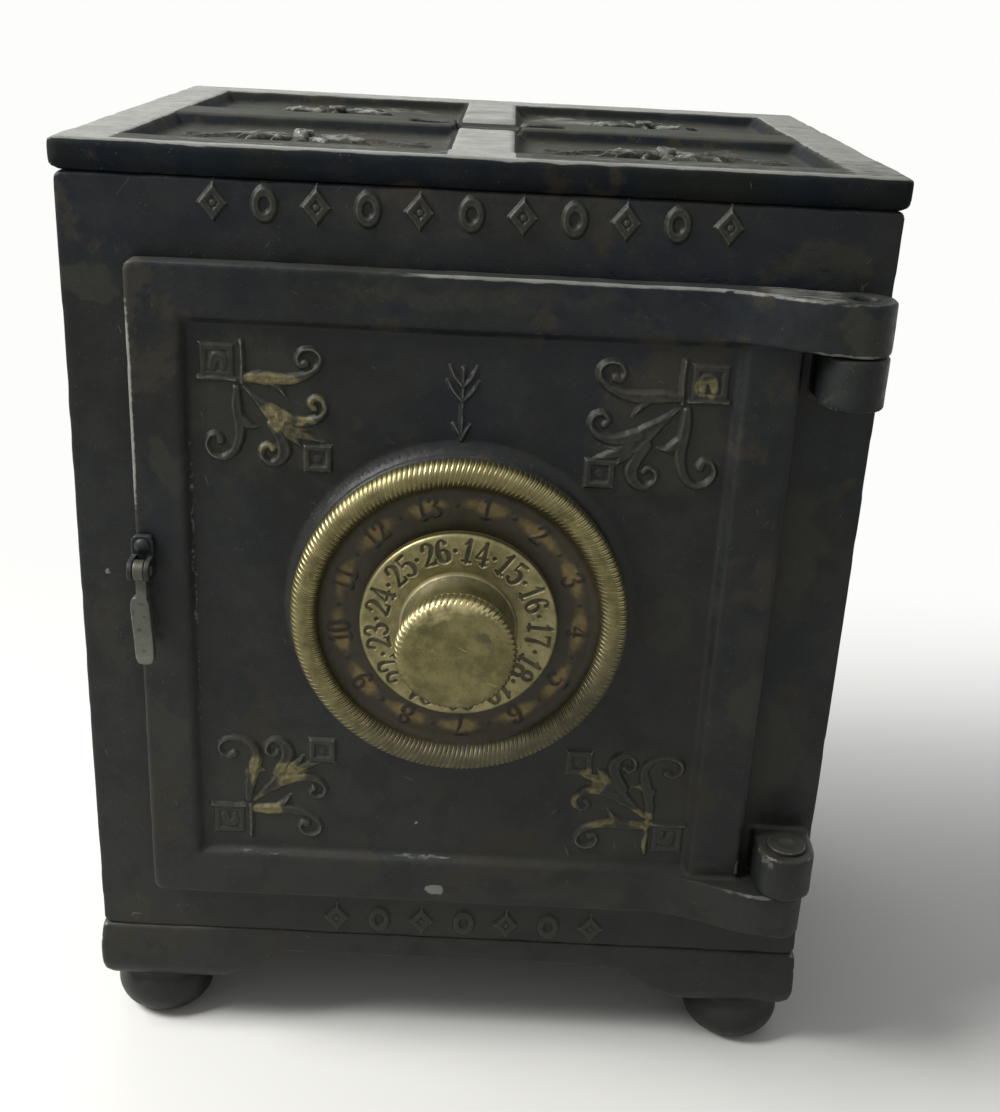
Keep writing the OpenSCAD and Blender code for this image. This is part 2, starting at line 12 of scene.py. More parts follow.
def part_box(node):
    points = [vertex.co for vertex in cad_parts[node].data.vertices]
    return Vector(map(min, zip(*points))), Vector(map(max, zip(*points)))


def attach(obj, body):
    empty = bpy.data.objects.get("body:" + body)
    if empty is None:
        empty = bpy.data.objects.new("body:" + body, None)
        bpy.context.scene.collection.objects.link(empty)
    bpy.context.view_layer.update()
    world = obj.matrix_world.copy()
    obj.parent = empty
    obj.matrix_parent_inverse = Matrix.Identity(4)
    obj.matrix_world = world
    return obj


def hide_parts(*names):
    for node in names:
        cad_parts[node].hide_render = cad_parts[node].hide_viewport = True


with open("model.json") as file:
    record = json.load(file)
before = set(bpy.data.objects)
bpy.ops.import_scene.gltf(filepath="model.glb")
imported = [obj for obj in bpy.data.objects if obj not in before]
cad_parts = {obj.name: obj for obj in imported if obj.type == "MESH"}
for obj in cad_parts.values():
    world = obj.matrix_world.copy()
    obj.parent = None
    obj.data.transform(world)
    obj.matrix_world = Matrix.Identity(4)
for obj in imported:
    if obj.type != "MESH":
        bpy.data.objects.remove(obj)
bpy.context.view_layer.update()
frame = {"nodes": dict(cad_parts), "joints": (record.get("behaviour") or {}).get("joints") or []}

MM = 0.001


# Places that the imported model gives, in millimetres

def place_of_joint(name):
    """Point on a joint's axis"""
    joint = next(j for j in frame["joints"] if j["name"] == name)
    return np.array(joint["pos_m"]) / MM


def low_of(node):
    return np.array(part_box(node)[0]) / MM


def high_of(node):
    return np.array(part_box(node)[1]) / MM


FRONT_CASTING = 4.0
FRONT_Y = high_of("front_frame")[1] - FRONT_CASTING
WALL_FOOT = low_of("front_frame")[2]
DIAL_X, _, DIAL_Z = place_of_joint("outer_dial_turn")
TOP_Z = high_of("top_plate")[2]

# Sizes of the door's face, in millimetres
DOOR_OUT = 3.8
DOOR_FIELD_DEPTH = 1.4
PANEL_Y = FRONT_Y - DOOR_OUT + DOOR_FIELD_DEPTH
TOP_FIELD_DEPTH = 2.2

# Sizes of the two dials, in millimetres; each OUT is a distance in front of the body's front
DIAL_R = 25.8
RIM_R = 2.1
RIM_OUT = 6.7
CHANNEL_OUT = 6.2
DIAL_BACK_OUT = 4.7
SLEEVE_R = 4.0
INNER_R = 15.05
INNER_FACE_OUT = 9.3
INNER_BACK_OUT = 7.6
HUB_R = 8.0
HUB_OUT = 6.5
SPINDLE_R = 2.55
KNOB_R = 9.0
KNOB_OUT = 19.7
KNOB_HEAD = 3.9
NECK_R = 7.7
RIM_RIDGES = 196
KNOB_RIDGES = 60

# Points that spots on the front are measured from
BODY_FRONT = (0, FRONT_Y, WALL_FOOT)
DIAL_FRONT = (DIAL_X, FRONT_Y, DIAL_Z)
KNOB_FRONT = (DIAL_X, FRONT_Y - KNOB_OUT, DIAL_Z)


# Smooth noise on points

HASH_STEPS = np.array([73856093, 19349663, 83492791])


def cloud(points, size, seed):
    """Value noise from -1 to 1 at points in millimetres, with lumps of about the given size"""
    spot = points / size + seed * 17.31
    cell = np.floor(spot).astype(np.int64)
    part = spot - cell
    part = part * part * (3 - 2 * part)
    total = np.zeros(len(spot))
    for corner in range(8):
        step = np.array([corner & 1, corner >> 1 & 1, corner >> 2 & 1])
        key = (cell + step) @ HASH_STEPS + seed * 2654435
        key = (key ^ key >> 13) * 1274126177 & 0x7FFFFFFF
        value = (key ^ key >> 16) % 65536 / 32767.5 - 1
        total += value * np.prod(np.where(step == 1, part, 1 - part), axis=1)
    return total


def smooth(value, low, high):
    """Soft step from 0 at low to 1 at high"""
    t = np.clip((value - low) / (high - low), 0, 1)
    return t * t * (3 - 2 * t)


def soft_spots(across, up, spots):
    """Greatest of several soft ellipses; each gives its middle, its half sizes and its strength"""
    total = np.zeros(len(across))
    for middle_across, middle_up, half_across, half_up, strength in spots:
        away = np.hypot((across - middle_across) / half_across, (up - middle_up) / half_up)
        total = np.maximum(total, strength * (1 - smooth(away, 0.4, 1.15)))
    return total


# Meshes from and to arrays, in millimetres

def new_piece(name, points, faces):
    """Object at the origin from points in millimetres"""
    mesh = bpy.data.meshes.new(name)
    mesh.from_pydata((np.asarray(points, float) * MM).tolist(), [], faces)
    mesh.update()
    piece = bpy.data.objects.new(name, mesh)
    bpy.context.scene.collection.objects.link(piece)
    return piece


def points_of(piece):
    flat = np.zeros(len(piece.data.vertices) * 3)
    piece.data.vertices.foreach_get("co", flat)
    return flat.reshape(-1, 3) / MM


def set_points(piece, points):
    piece.data.vertices.foreach_set("co", (points * MM).ravel())
    piece.data.update()


def normals_of(piece):
    flat = np.zeros(len(piece.data.vertices) * 3)
    piece.data.vertices.foreach_get("normal", flat)
    return flat.reshape(-1, 3)


def edges_of(piece):
    flat = np.zeros(len(piece.data.edges) * 2, int)
    piece.data.edges.foreach_get("vertices", flat)
    return flat.reshape(-1, 2)


def store(piece, name, values):
    """Keeps one number per vertex, or the same number for all, for the materials to read"""
    attribute = piece.data.attributes.get(name)
    if attribute is None:
        attribute = piece.data.attributes.new(name, "FLOAT", "POINT")
    attribute.data.foreach_set("value", np.full(len(piece.data.vertices), values, np.float32))


def kept(piece, name):
    """Numbers kept under a name, one per vertex"""
    values = np.zeros(len(piece.data.vertices), np.float32)
    piece.data.attributes[name].data.foreach_get("value", values)
    return values


def add_to(piece, name, values):
    """Adds to what is kept under a name"""
    store(piece, name, kept(piece, name) + values)


def around(values, edges):
    """Mean of each vertex's neighbours"""
    count = np.maximum(np.bincount(edges.ravel(), minlength=len(values)), 1)
    if values.ndim == 1:
        total = np.bincount(edges[:, 0], values[edges[:, 1]], len(values))
        total += np.bincount(edges[:, 1], values[edges[:, 0]], len(values))
        return total / count
    return np.stack([around(values[:, k], edges) for k in range(values.shape[1])], axis=1)


def mark_relief(piece, gain=4.0, blur=2):
    """Keeps how far each place stands out as "edge", how far it is sunk as "hollow"; gives the edge"""
    points = points_of(piece)
    edges = edges_of(piece)
    length = np.linalg.norm(points[edges[:, 0]] - points[edges[:, 1]], axis=1).mean()
    bend = np.sum((points - around(points, edges)) * normals_of(piece), axis=1) / length
    for _ in range(blur):
        bend = 0.5 * bend + 0.5 * around(bend, edges)
    edge = np.clip(bend * gain, 0, 1)
    store(piece, "edge", edge)
    store(piece, "hollow", np.clip(-bend * gain, 0, 1))
    return edge


def join(name, pieces):
    """One object from several, with all their points in place"""
    with bpy.context.temp_override(active_object=pieces[0], selected_editable_objects=pieces):
        bpy.ops.object.join()
    pieces[0].name = name
    pieces[0].data.name = name
    return pieces[0]


def bake(piece):
    """Turns a piece's modifiers into a plain mesh"""
    depsgraph = bpy.context.evaluated_depsgraph_get()
    mesh = bpy.data.meshes.new_from_object(piece.evaluated_get(depsgraph))
    piece.modifiers.clear()
    piece.data = mesh
    mesh.name = piece.name
    return piece


def merged_copy(node, name):
    """Copy of a CAD node's mesh with its loose triangles joined"""
    piece = bpy.data.objects.new(name, frame["nodes"][node].data.copy())
    bpy.context.scene.collection.objects.link(piece)
    piece.data.materials.clear()
    weld = piece.modifiers.new("Weld", "WELD")
    weld.merge_threshold = 0.002 * MM
    return bake(piece)


def finish(piece, body, material, replaces=()):
    """Gives a piece its material, its body and the nodes that it stands for"""
    if not piece.data.materials:
        piece.data.materials.append(material)
    piece.data.shade_smooth()
    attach(piece, body)
    if replaces:
        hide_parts(*replaces)
    return piece


# Node trees

class Wire:
    """Output socket of a node tree that takes part in sums, each of which adds a Math node"""

    def __init__(self, tree, socket):
        self.tree = tree
        self.socket = socket

    def math(self, operation, *others):
        node = self.tree.nodes.new("ShaderNodeMath")
        node.operation = operation
        for place, value in enumerate((self, *others)):
            plug(self.tree, value, node.inputs[place])
        return Wire(self.tree, node.outputs[0])

    def __add__(self, other):
        return self.math("ADD", other)

    def __sub__(self, other):
        return self.math("SUBTRACT", other)

    def __mul__(self, other):
        return self.math("MULTIPLY", other)

    def __truediv__(self, other):
        return self.math("DIVIDE", other)


def plug(tree, value, socket):
    """Links a wire to a socket, or sets the socket to a plain value"""
    if isinstance(value, Wire):
        tree.links.new(value.socket, socket)
    else:
        socket.default_value = value


# A Mix node's two inputs and its output for each kind of value, as it counts them
MIX_SOCKETS = {"RGBA": (6, 7, 2), "FLOAT": (2, 3, 0)}


class Graph:
    """Short names for the nodes that the materials and the geometry trees here are made of"""

    def __init__(self, tree):
        self.tree = tree

    def add(self, kind, out=0, settings=None, **inputs):
        """New node, with inputs by socket name; spaces are written as underscores"""
        node = self.tree.nodes.new(kind)
        for name, value in (settings or {}).items():
            setattr(node, name, value)
        for name, value in inputs.items():
            plug(self.tree, value, node.inputs[name.replace("_", " ")])
        return Wire(self.tree, node.outputs[out])

    def place(self):
        return self.add("ShaderNodeTexCoord", "Object")

    def drawn_out(self, length, turn=(0, 0, 0), shift=(0, 0, 0)):
        """Object coordinates drawn out along one turned direction, for marks that run one way"""
        return self.add("ShaderNodeMapping", 0, {"vector_type": "TEXTURE"}, Vector=self.place(),
                        Scale=(length, 1, 1), Rotation=turn, Location=shift)

    def attribute(self, name):
        return self.add("ShaderNodeAttribute", "Fac", {"attribute_name": name})

    def noise(self, size, detail=3.0, vector=None, rough=0.55):
        """Noise with lumps of a size in millimetres"""
        vector = self.place() if vector is None else vector
        return self.add("ShaderNodeTexNoise", "Fac", Vector=vector, Scale=1 / (size * MM),
                        Detail=detail, Roughness=rough)

    def step(self, value, low, high):
        """Soft mask from 0 at low to 1 at high"""
        return self.add("ShaderNodeMapRange", 0, {"interpolation_type": "SMOOTHSTEP"},
                        Value=value, From_Min=low, From_Max=high)

    def level(self, value, low, high):
        """Value from 0 to 1 spread from low to high"""
        return self.add("ShaderNodeMapRange", Value=value, To_Min=low, To_Max=high)

    def between(self, kind, factor, first, second):
        """Value of a kind between two others"""
        first_at, second_at, result_at = MIX_SOCKETS[kind]
        node = self.tree.nodes.new("ShaderNodeMix")
        node.data_type = kind
        plug(self.tree, factor, node.inputs[0])
        plug(self.tree, first, node.inputs[first_at])
        plug(self.tree, second, node.inputs[second_at])
        return Wire(self.tree, node.outputs[result_at])

    def mix(self, factor, first, second):
        """Colour between two colours"""
        return self.between("RGBA", factor, first, second)

    def blend(self, factor, first, second):
        """Number between two numbers"""
        return self.between("FLOAT", factor, first, second)


def colour(red, green, blue):
    return (red, green, blue, 1.0)


def times(tint, amount):
    """Colour from a tint, darkened or brightened"""
    return colour(*(amount * part for part in tint))


def shader_group(name, inputs, outputs):
    """Empty shader node group with float inputs and outputs by name"""
    tree = bpy.data.node_groups.new(name, "ShaderNodeTree")
    for label, value in inputs.items():
        socket = tree.interface.new_socket(label, in_out="INPUT", socket_type="NodeSocketFloat")
        socket.default_value = value
    for label in outputs:
        tree.interface.new_socket(label, in_out="OUTPUT", socket_type="NodeSocketFloat")
    source = tree.nodes.new("NodeGroupInput")
    sink = tree.nodes.new("NodeGroupOutput")
    return Graph(tree), {label: Wire(tree, source.outputs[label]) for label in inputs}, sink


def put_out(graph, sink, **values):
    for label, wire in values.items():
        graph.tree.links.new(wire.socket, sink.inputs[label.replace("_", " ")])
    return graph.tree


def edge_wear_group():
    """Rubbed edges: a broken mask along what stands out"""
    graph, given, sink = shader_group("Edge wear", {"Amount": 0.5, "Break up": 0.5}, ["Mask"])
    broken = graph.noise(2.6, 6.0, rough=0.65) * given["Break up"]
    lightened = graph.attribute("edge") + given["Amount"] - broken
    return put_out(graph, sink, Mask=graph.step(lightened, 0.62, 0.85))


def scratch_group():
    """Short scratches in many directions, each direction in patches of its own"""
    graph, given, sink = shader_group("Scratches", {"Amount": 0.5}, ["Mask"])
    turns = [(0, 0.45, 0), (0, 1.25, 0.1), (0, 2.35, -0.1),
             (0.2, 0.1, 1.1), (0.8, 0, 1.57), (2.1, 0, 1.5)]
    total = None
    for number, turn in enumerate(turns):
        shift = (0.013 * number, 0.029 * number, 0.017 * number)
        line = graph.step(graph.noise(0.42, 1.0, graph.drawn_out(11, turn)), 0.735, 0.765)
        patch = graph.noise(4.0, 2.0, graph.drawn_out(1, turn, shift)) + given["Amount"] * 0.25
        line = line * graph.step(patch, 0.66, 0.72)
        total = line if total is None else total.math("MAXIMUM", line)
    return put_out(graph, sink, Mask=total)


SKIN_LOOKS = ["Height", "Film", "Stain", "Flecks", "Tone"]


def casting_skin_group():
    """Cast surface: its height, and masks for a film of dirt, stains, flecks and two tones of paint"""
    graph, given, sink = shader_group("Casting skin", {"Stains": 0.5}, SKIN_LOOKS)
    lumps = graph.noise(3.2, 4.0)
    grain = graph.noise(0.55, 5.0, rough=0.7)
    pits = graph.step(graph.noise(1.1, 2.0), 0.60, 0.74)
    height = lumps * 0.5 + grain * 0.34 - pits * 0.22
    film = graph.step(graph.noise(8.0, 7.0, rough=0.68), 0.36, 0.64)
    stain = graph.step(graph.noise(13.0, 6.0, rough=0.62) + given["Stains"] * 0.2, 0.64, 0.70)
    patch = graph.step(graph.noise(8.0, 2.0), 0.48, 0.60)
    flecks = graph.step(graph.noise(0.36, 1.0), 0.71, 0.76) * patch
    tone = graph.noise(26.0, 3.0)
    return put_out(graph, sink, Height=height, Film=film, Stain=stain, Flecks=flecks, Tone=tone)


GROUPS = {
    "wear": edge_wear_group(),
    "scratches": scratch_group(),
    "skin": casting_skin_group(),
}


def use_group(graph, key, out, **inputs):
    """Node of a shared group with this material's own values"""
    node = graph.tree.nodes.new("ShaderNodeGroup")
    node.node_tree = GROUPS[key]
    for name, value in inputs.items():
        node.inputs[name.replace("_", " ")].default_value = value
    if isinstance(out, str):
        return Wire(graph.tree, node.outputs[out])
    return [Wire(graph.tree, node.outputs[label]) for label in out]


def new_material(name, base):
    """Principled material with a plain base colour for the viewport, its graph and its shader"""
    material = bpy.data.materials.new(name)
    material.use_nodes = True
    material.diffuse_color = base
    graph = Graph(material.node_tree)
    shader = material.node_tree.nodes["Principled BSDF"]
    return material, graph, shader


def dress(graph, shader, base, roughness, metallic, height, depth, distance=0.2):
    """Links the varying looks to the shader, with the height through a Bump node"""
    plug(graph.tree, base, shader.inputs["Base Color"])
    plug(graph.tree, roughness, shader.inputs["Roughness"])
    plug(graph.tree, metallic, shader.inputs["Metallic"])
    bump = graph.add("ShaderNodeBump", Height=height, Strength=depth, Distance=distance * MM)
    graph.tree.links.new(bump.socket, shader.inputs["Normal"])


def japanned_iron(name, wear=0.30, stains=0.35, dust=0.25, gilding=False, shine=0.21, rough=(0.32, 0.48)):
    """Old black japanning under a film of dirt, grey on worn edges and brown where it has gone; lighter
    towards the bottom as a painted reflection of the floor, and pale where paint has flaked and where
    highlights and reflections are painted
    """
    material, graph, shader = new_material(name, colour(0.012, 0.013, 0.015))
    height, film, stain, flecks, tone = use_group(graph, "skin", SKIN_LOOKS, Stains=stains)
    worn = use_group(graph, "wear", "Mask", Amount=wear, Break_up=0.75)
    scratched = use_group(graph, "scratches", "Mask", Amount=0.4)
    above = graph.add("ShaderNodeSeparateXYZ", "Z", Vector=graph.place())
    # Lighter grey towards the bottom: a painted reflection of the pale floor, added to the film of dirt
    low_down = graph.step(above * -1.0 + graph.noise(30.0, 2.0) * 0.05, -0.125, 0.005)
    paint = graph.mix(graph.step(tone, 0.38, 0.60), colour(0.0034, 0.0046, 0.0042),
                      colour(0.0019, 0.0040, 0.0082))
    speckle = graph.level(graph.noise(0.45, 4.0, rough=0.7), 0.3, 1.7)
    dirt_and_floor_glow = (film * 0.38 + low_down * film * 0.40 + low_down * 0.62) * speckle
    base = graph.mix(dirt_and_floor_glow, paint, colour(0.0175, 0.0192, 0.0158))
    brown = graph.mix(graph.noise(1.3, 4.0), colour(0.034, 0.028, 0.018), colour(0.016, 0.014, 0.010))
    base = graph.mix(stain * 0.7, base, brown)
    soiled = graph.step(graph.attribute("halo") - graph.noise(1.6, 6.0, rough=0.7) * 0.9, -0.25, 0.30)
    base = graph.mix(soiled * speckle * 0.50, base, colour(0.027, 0.0262, 0.0180))
    dirt = graph.attribute("hollow") * graph.noise(1.8, 3.0)
    base = graph.mix(dirt * 0.6, base, colour(0.028, 0.025, 0.018))
    if gilding:
        broken = graph.noise(0.8, 5.0, rough=0.65)
        trace = graph.step(graph.attribute("gilt") - broken * 0.5, 0.0, 0.3)
        base = graph.mix(trace * 0.6, base, colour(0.052, 0.045, 0.020))
        gold = graph.step(graph.attribute("gilt") - broken * 0.85, 0.05, 0.25)
        leaf = graph.mix(graph.step(graph.noise(0.8, 4.0), 0.34, 0.66), colour(0.070, 0.060, 0.026),
                         colour(0.155, 0.134, 0.058))
        base = graph.mix(gold * 0.92, base, leaf)
        base = graph.mix(graph.attribute("edge") * 0.34, base, colour(0.090, 0.087, 0.070))
    metal = graph.mix(graph.noise(0.7, 3.0), colour(0.060, 0.059, 0.050), colour(0.165, 0.162, 0.145))
    base = graph.mix(worn, base, metal)
    base = graph.mix(scratched * 0.35, base, colour(0.10, 0.098, 0.085))
    up = graph.add("ShaderNodeSeparateXYZ", "Z", Vector=graph.add("ShaderNodeNewGeometry", "Normal"))
    dusty = graph.step(up, 0.55, 0.95) * graph.level(graph.noise(5.0, 5.0), 0.3, 1.0) * dust
    base = graph.mix(dusty, base, colour(0.105, 0.105, 0.090))
    # Pale where the "pale" attribute is high: flaked paint on worn spots, and painted highlights and
    # reflections on the door's edges and hinge arms and on the top's ribs, rims and leaves
    flakes = graph.noise(0.7, 5.0, graph.drawn_out(5), rough=0.6)
    pale_flakes_and_highlights = graph.step(graph.attribute("pale") - flakes * 0.8, -0.05, 0.25)
    pale = graph.mix(graph.noise(1.6, 5.0, graph.drawn_out(3)), colour(0.085, 0.085, 0.074),
                     colour(0.200, 0.200, 0.180))
    base = graph.mix(pale_flakes_and_highlights, base, pale)
    cracks = graph.step(graph.noise(0.55, 3.0, graph.drawn_out(9, (0, 0, 0.08))), 0.66, 0.72)
    base = graph.mix(pale_flakes_and_highlights * cracks * 0.7, base, colour(0.05, 0.046, 0.036))
    base = graph.mix(flecks * 0.22, base, colour(0.11, 0.105, 0.092))
    roughness = graph.level(graph.noise(2.0, 4.0), *rough) + film * 0.10 + stain * 0.15 + dusty * 0.3
    roughness = roughness - pale_flakes_and_highlights * (rough[0] - 0.26)
    dress(graph, shader, base, roughness, worn * 0.6, height, 0.66)
    shader.inputs["Specular IOR Level"].default_value = shine
    return material


def aged_brass(name, polish, grime, tint, scratches=0.5):
    """Brass gone olive, bright where it is handled and where a highlight is painted, spotted brown, black
    in its hollows and stamps and darker where shade is painted
    """
    material, graph, shader = new_material(name, colour(*tint))
    worn = use_group(graph, "wear", "Mask", Amount=polish, Break_up=0.5)
    scratched = use_group(graph, "scratches", "Mask", Amount=scratches)
    deep = colour(tint[0] * 0.55, tint[1] * 0.56, tint[2] * 0.54)
    darkening = graph.step(graph.noise(3.0, 6.0, rough=0.65), 0.32, 0.70)
    base = graph.mix(darkening, colour(*tint), deep)
    spots = graph.step(graph.noise(0.9, 4.0, rough=0.6), 0.60, 0.72)
    base = graph.mix(spots * 0.6, base, colour(0.055, 0.045, 0.022))
    # The wear mask also holds a painted highlight on the knob's top
    base = graph.mix(worn * 0.8, base, colour(0.46, 0.40, 0.205))
    # The hollow input also holds painted shade: the knob's neck and the lower side of its ridges, and the
    # rim's lower right
    sunk = graph.attribute("hollow") + graph.noise(1.6, 4.0) * 0.35
    dirt = graph.step(sunk, 0.62 - grime * 0.5, 1.15 - grime * 0.5)
    base = graph.mix(dirt, base, colour(0.024, 0.019, 0.011))
    base = graph.mix(scratched * 0.4, base, colour(0.40, 0.36, 0.22))
    struck = graph.attribute("stamp") * graph.level(graph.noise(1.1, 4.0), 0.30, 1.25)
    base = graph.mix(struck, base, colour(0.024, 0.021, 0.013))
    dull = dirt.math("MAXIMUM", struck)
    roughness = graph.level(graph.noise(1.5, 4.0), 0.36, 0.52) + dull * 0.25 - worn * 0.08
    metallic = graph.level(dull, 0.95, 0.2)
    height = graph.noise(1.1, 4.0) * 0.5 + graph.noise(0.25, 2.0) * 0.2
    dress(graph, shader, base, roughness, metallic, height, 0.30, 0.12)
    return material


def dial_channel(name):
    """Floor of the outer dial: black-brown lacquer, with smudges of brass round the raised numbers"""
    material, graph, shader = new_material(name, colour(0.02, 0.016, 0.010))
    brown = graph.mix(graph.noise(1.2, 4.0), colour(0.010, 0.0085, 0.004), colour(0.038, 0.029, 0.012))
    lightened = graph.attribute("band") * graph.level(graph.noise(2.6, 5.0, rough=0.6), -0.2, 1.4)
    lightened = graph.step(lightened, 0.10, 0.50)
    brass = graph.mix(graph.noise(0.8, 4.0), colour(0.075, 0.052, 0.022), colour(0.190, 0.150, 0.066))
    base = graph.mix(lightened, brown, brass)
    struck = graph.attribute("stamp") * graph.level(graph.noise(0.9, 3.0), 0.6, 1.2)
    base = graph.mix(struck, base, colour(0.013, 0.012, 0.009))
    roughness = graph.level(graph.noise(1.0, 3.0), 0.40, 0.58)
    metallic = lightened * 0.6
    height = graph.noise(1.4, 4.0) * 0.6 + graph.noise(0.35, 3.0) * 0.3
    dress(graph, shader, base, roughness, metallic, height, 0.45)
    shader.inputs["Specular IOR Level"].default_value = 0.32
    return material


def dull_steel(name, tone=0.30, rust=0.3, tint=(1.0, 0.98, 0.9), shine=0.9):
    """Bare steel that has dulled, with spots of rust"""
    material, graph, shader = new_material(name, times(tint, tone))
    worn = use_group(graph, "wear", "Mask", Amount=0.30, Break_up=0.6)
    grey = graph.mix(graph.noise(1.6, 4.0), times(tint, tone * 0.6), times(tint, tone))
    spots = graph.step(graph.noise(1.9, 5.0), 0.66 - rust * 0.2, 0.80 - rust * 0.2)
    base = graph.mix(spots, grey, colour(0.075, 0.042, 0.022))
    base = graph.mix(worn, base, times(tint, min(tone * 2.2, 0.5)))
    # The hollow input also holds the painted shade at the top of the drop handle
    dirt = graph.attribute("hollow") * 0.8
    base = graph.mix(dirt, base, colour(0.025, 0.022, 0.017))
    roughness = graph.level(graph.noise(1.0, 3.0), 0.36, 0.52) + spots * 0.25
    metallic = graph.level(spots, shine, 0.2)
    dress(graph, shader, base, roughness, metallic, graph.noise(0.6, 4.0), 0.35, 0.15)
    return material


IRON = japanned_iron("japanned iron")
TOP_IRON = japanned_iron("dusty iron of the top", dust=0.35, shine=0.10, rough=(0.66, 0.84))
GILT_IRON = japanned_iron("japanned iron with gilt traces", gilding=True)
PIN_IRON = japanned_iron("japanned pin", wear=0.42, stains=0.5)
BRASS = aged_brass("aged brass", 0.41, 0.43, (0.164, 0.145, 0.067))
KNOB_BRASS = aged_brass("handled brass", 0.46, 0.40, (0.176, 0.156, 0.071), scratches=0.35)
DISC_BRASS = aged_brass("stamped brass", 0.43, 0.38, (0.245, 0.218, 0.110))
INNER_BRASS = aged_brass("lock brass", 0.40, 0.35, (0.240, 0.190, 0.085))
CHANNEL = dial_channel("lacquered channel")
STEEL = dull_steel("dull steel")
HANDLE_METAL = dull_steel("worn handle metal", 0.082, 0.20, (1.0, 1.04, 0.80), shine=0.30)


# Castings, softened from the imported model

def casting(node, body, seed, voxel=0.5, passes=2, batter=0.14, wobble=0.05, material=IRON):
    """Soft-edged copy of a casting: its edges are rounded and knocked, its faces slightly uneven"""
    sharp = merged_copy(node, node + "_sharp")
    piece = merged_copy(node, node + "_casting")
    remesh = piece.modifiers.new("Remesh", "REMESH")
    remesh.mode = "VOXEL"
    remesh.voxel_size = voxel * MM
    relax = piece.modifiers.new("Smooth", "SMOOTH")
    relax.iterations = passes
    relax.factor = 0.5
    wrap = piece.modifiers.new("Wrap", "SHRINKWRAP")
    wrap.target = sharp
    wrap.wrap_method = "NEAREST_SURFACEPOINT"
    soften = piece.modifiers.new("Soften", "SMOOTH")
    soften.iterations = 1
    soften.factor = 0.35
    bake(piece)
    bpy.data.objects.remove(sharp)
    edge = mark_relief(piece)
    points = points_of(piece)
    normals = normals_of(piece)
    move = wobble * (cloud(points, 7.0, seed) + 0.5 * cloud(points, 2.4, seed + 3))
    move -= batter * edge * smooth(cloud(points, 3.4, seed + 5), -0.1, 0.8)
    set_points(piece, np.clip(points + normals * move[:, None], low_of(node), high_of(node)))
    return finish(piece, body, material, [node])


casting("base", "safe", 2, voxel=0.62)
front_frame = casting("front_frame", "safe", 3, batter=0.24)
casting("back_panel", "safe", 4, voxel=0.62)
casting("left_side", "safe", 5, voxel=0.62)
casting("right_side", "safe", 6, voxel=0.62)
top_plate = casting("top_plate", "safe", 7, voxel=0.58, batter=0.30, material=TOP_IRON)
door = casting("door", "door", 8, batter=0.20)
bracket = casting("handle_bracket", "door", 9, 0.16, 3, batter=0.08, wobble=0.03)
handle = casting("drop_handle", "handle", 10, 0.14, 3, batter=0.08, wobble=0.03,
                 material=HANDLE_METAL)
casting("lower_hinge_pin", "safe", 11, voxel=0.16, batter=0.05, wobble=0.01,
        material=PIN_IRON)
casting("handle_rivet", "door", 12, voxel=0.1, batter=0.02, wobble=0.01,
        material=PIN_IRON)


def soil_front(piece, halo, pale, ledges=(), lines=()):
    """Keeps a front's brown soil as "halo", and its worn spots and its painted highlights on places,
    ledges and edges as "pale".
    """
    spots = points_of(piece) - BODY_FRONT
    normals = normals_of(piece)
    front = smooth(-normals[:, 1], 0.1, 0.5)
    drift = [1.9 * cloud(spots, 4.5, seed) + 0.8 * cloud(spots, 1.5, seed + 1) for seed in (61, 63)]
    store(piece, "halo", front * soft_spots(spots[:, 0] + drift[0], spots[:, 2] + drift[1], halo))
    drift = [0.30 * cloud(spots, 1.3, seed) + 0.15 * cloud(spots, 0.6, seed + 1) for seed in (65, 67)]
    # Pale places: painted highlights along the field's borders and a painted glow behind the lower pin,
    # and some worn spots
    lightened = front * soft_spots(spots[:, 0] + drift[0], spots[:, 2] + drift[1], pale)
    # Painted highlights on up-facing ledges
    ledge = smooth(normals[:, 2], 0.25, 0.75) * soft_spots(spots[:, 0], spots[:, 2], ledges)
    # Painted highlight lines along raised edges
    line = smooth(kept(piece, "edge"), 0.10, 0.40) * soft_spots(spots[:, 0], spots[:, 2], lines)
    store(piece, "pale", np.max([lightened, ledge, line], axis=0))


# Soiled and pale places of the front as middle, half sizes and strength, from the body's middle and the
# walls' foot. The soil is brown dirt. The thin pale lines along the field's borders, the ledges, the
# lines and the pale place behind the lower pin are painted highlights; the other pale places are worn
# spots
DOOR_SOIL = [
    (-31, 95, 13, 13, 0.85), (28.5, 95.5, 13, 13, 0.85), (-31, 31, 13, 13, 0.9), (29, 31, 13, 13, 0.9),
    (-44.7, 84.7, 2.8, 6.0, 1.1), (45.9, 50.4, 4.2, 7.0, 1.1), (33, 63, 5, 6, 0.7),
    (19, 19.2, 9, 2.0, 0.8), (0, 113, 30, 2.2, 0.6), (-46, 40, 2.6, 9, 0.7), (20, 12.5, 16, 2.2, 0.6),
    (55.5, 112.0, 6.5, 4.5, 1.15),
]
DOOR_PALE = [
    (-2.8, 12.6, 1.9, 1.2, 1.15), (-31, 18.2, 10.5, 0.35, 0.45), (-5.5, 18.4, 8.5, 0.35, 0.45),
    (-6.1, 24.9, 0.5, 0.4, 0.9), (0, 108.4, 44, 0.3, 0.36), (40.6, 80, 0.3, 30, 0.34),
    (-41.4, 66, 0.35, 44, 0.44),
]
# Painted highlights on the tops of the hinge arms
DOOR_LEDGES = [(46.0, 115.6, 9.0, 3.0, 0.50), (46.0, 20.0, 5.0, 3.0, 0.50), (54.0, 18.0, 5.0, 3.0, 0.34)]
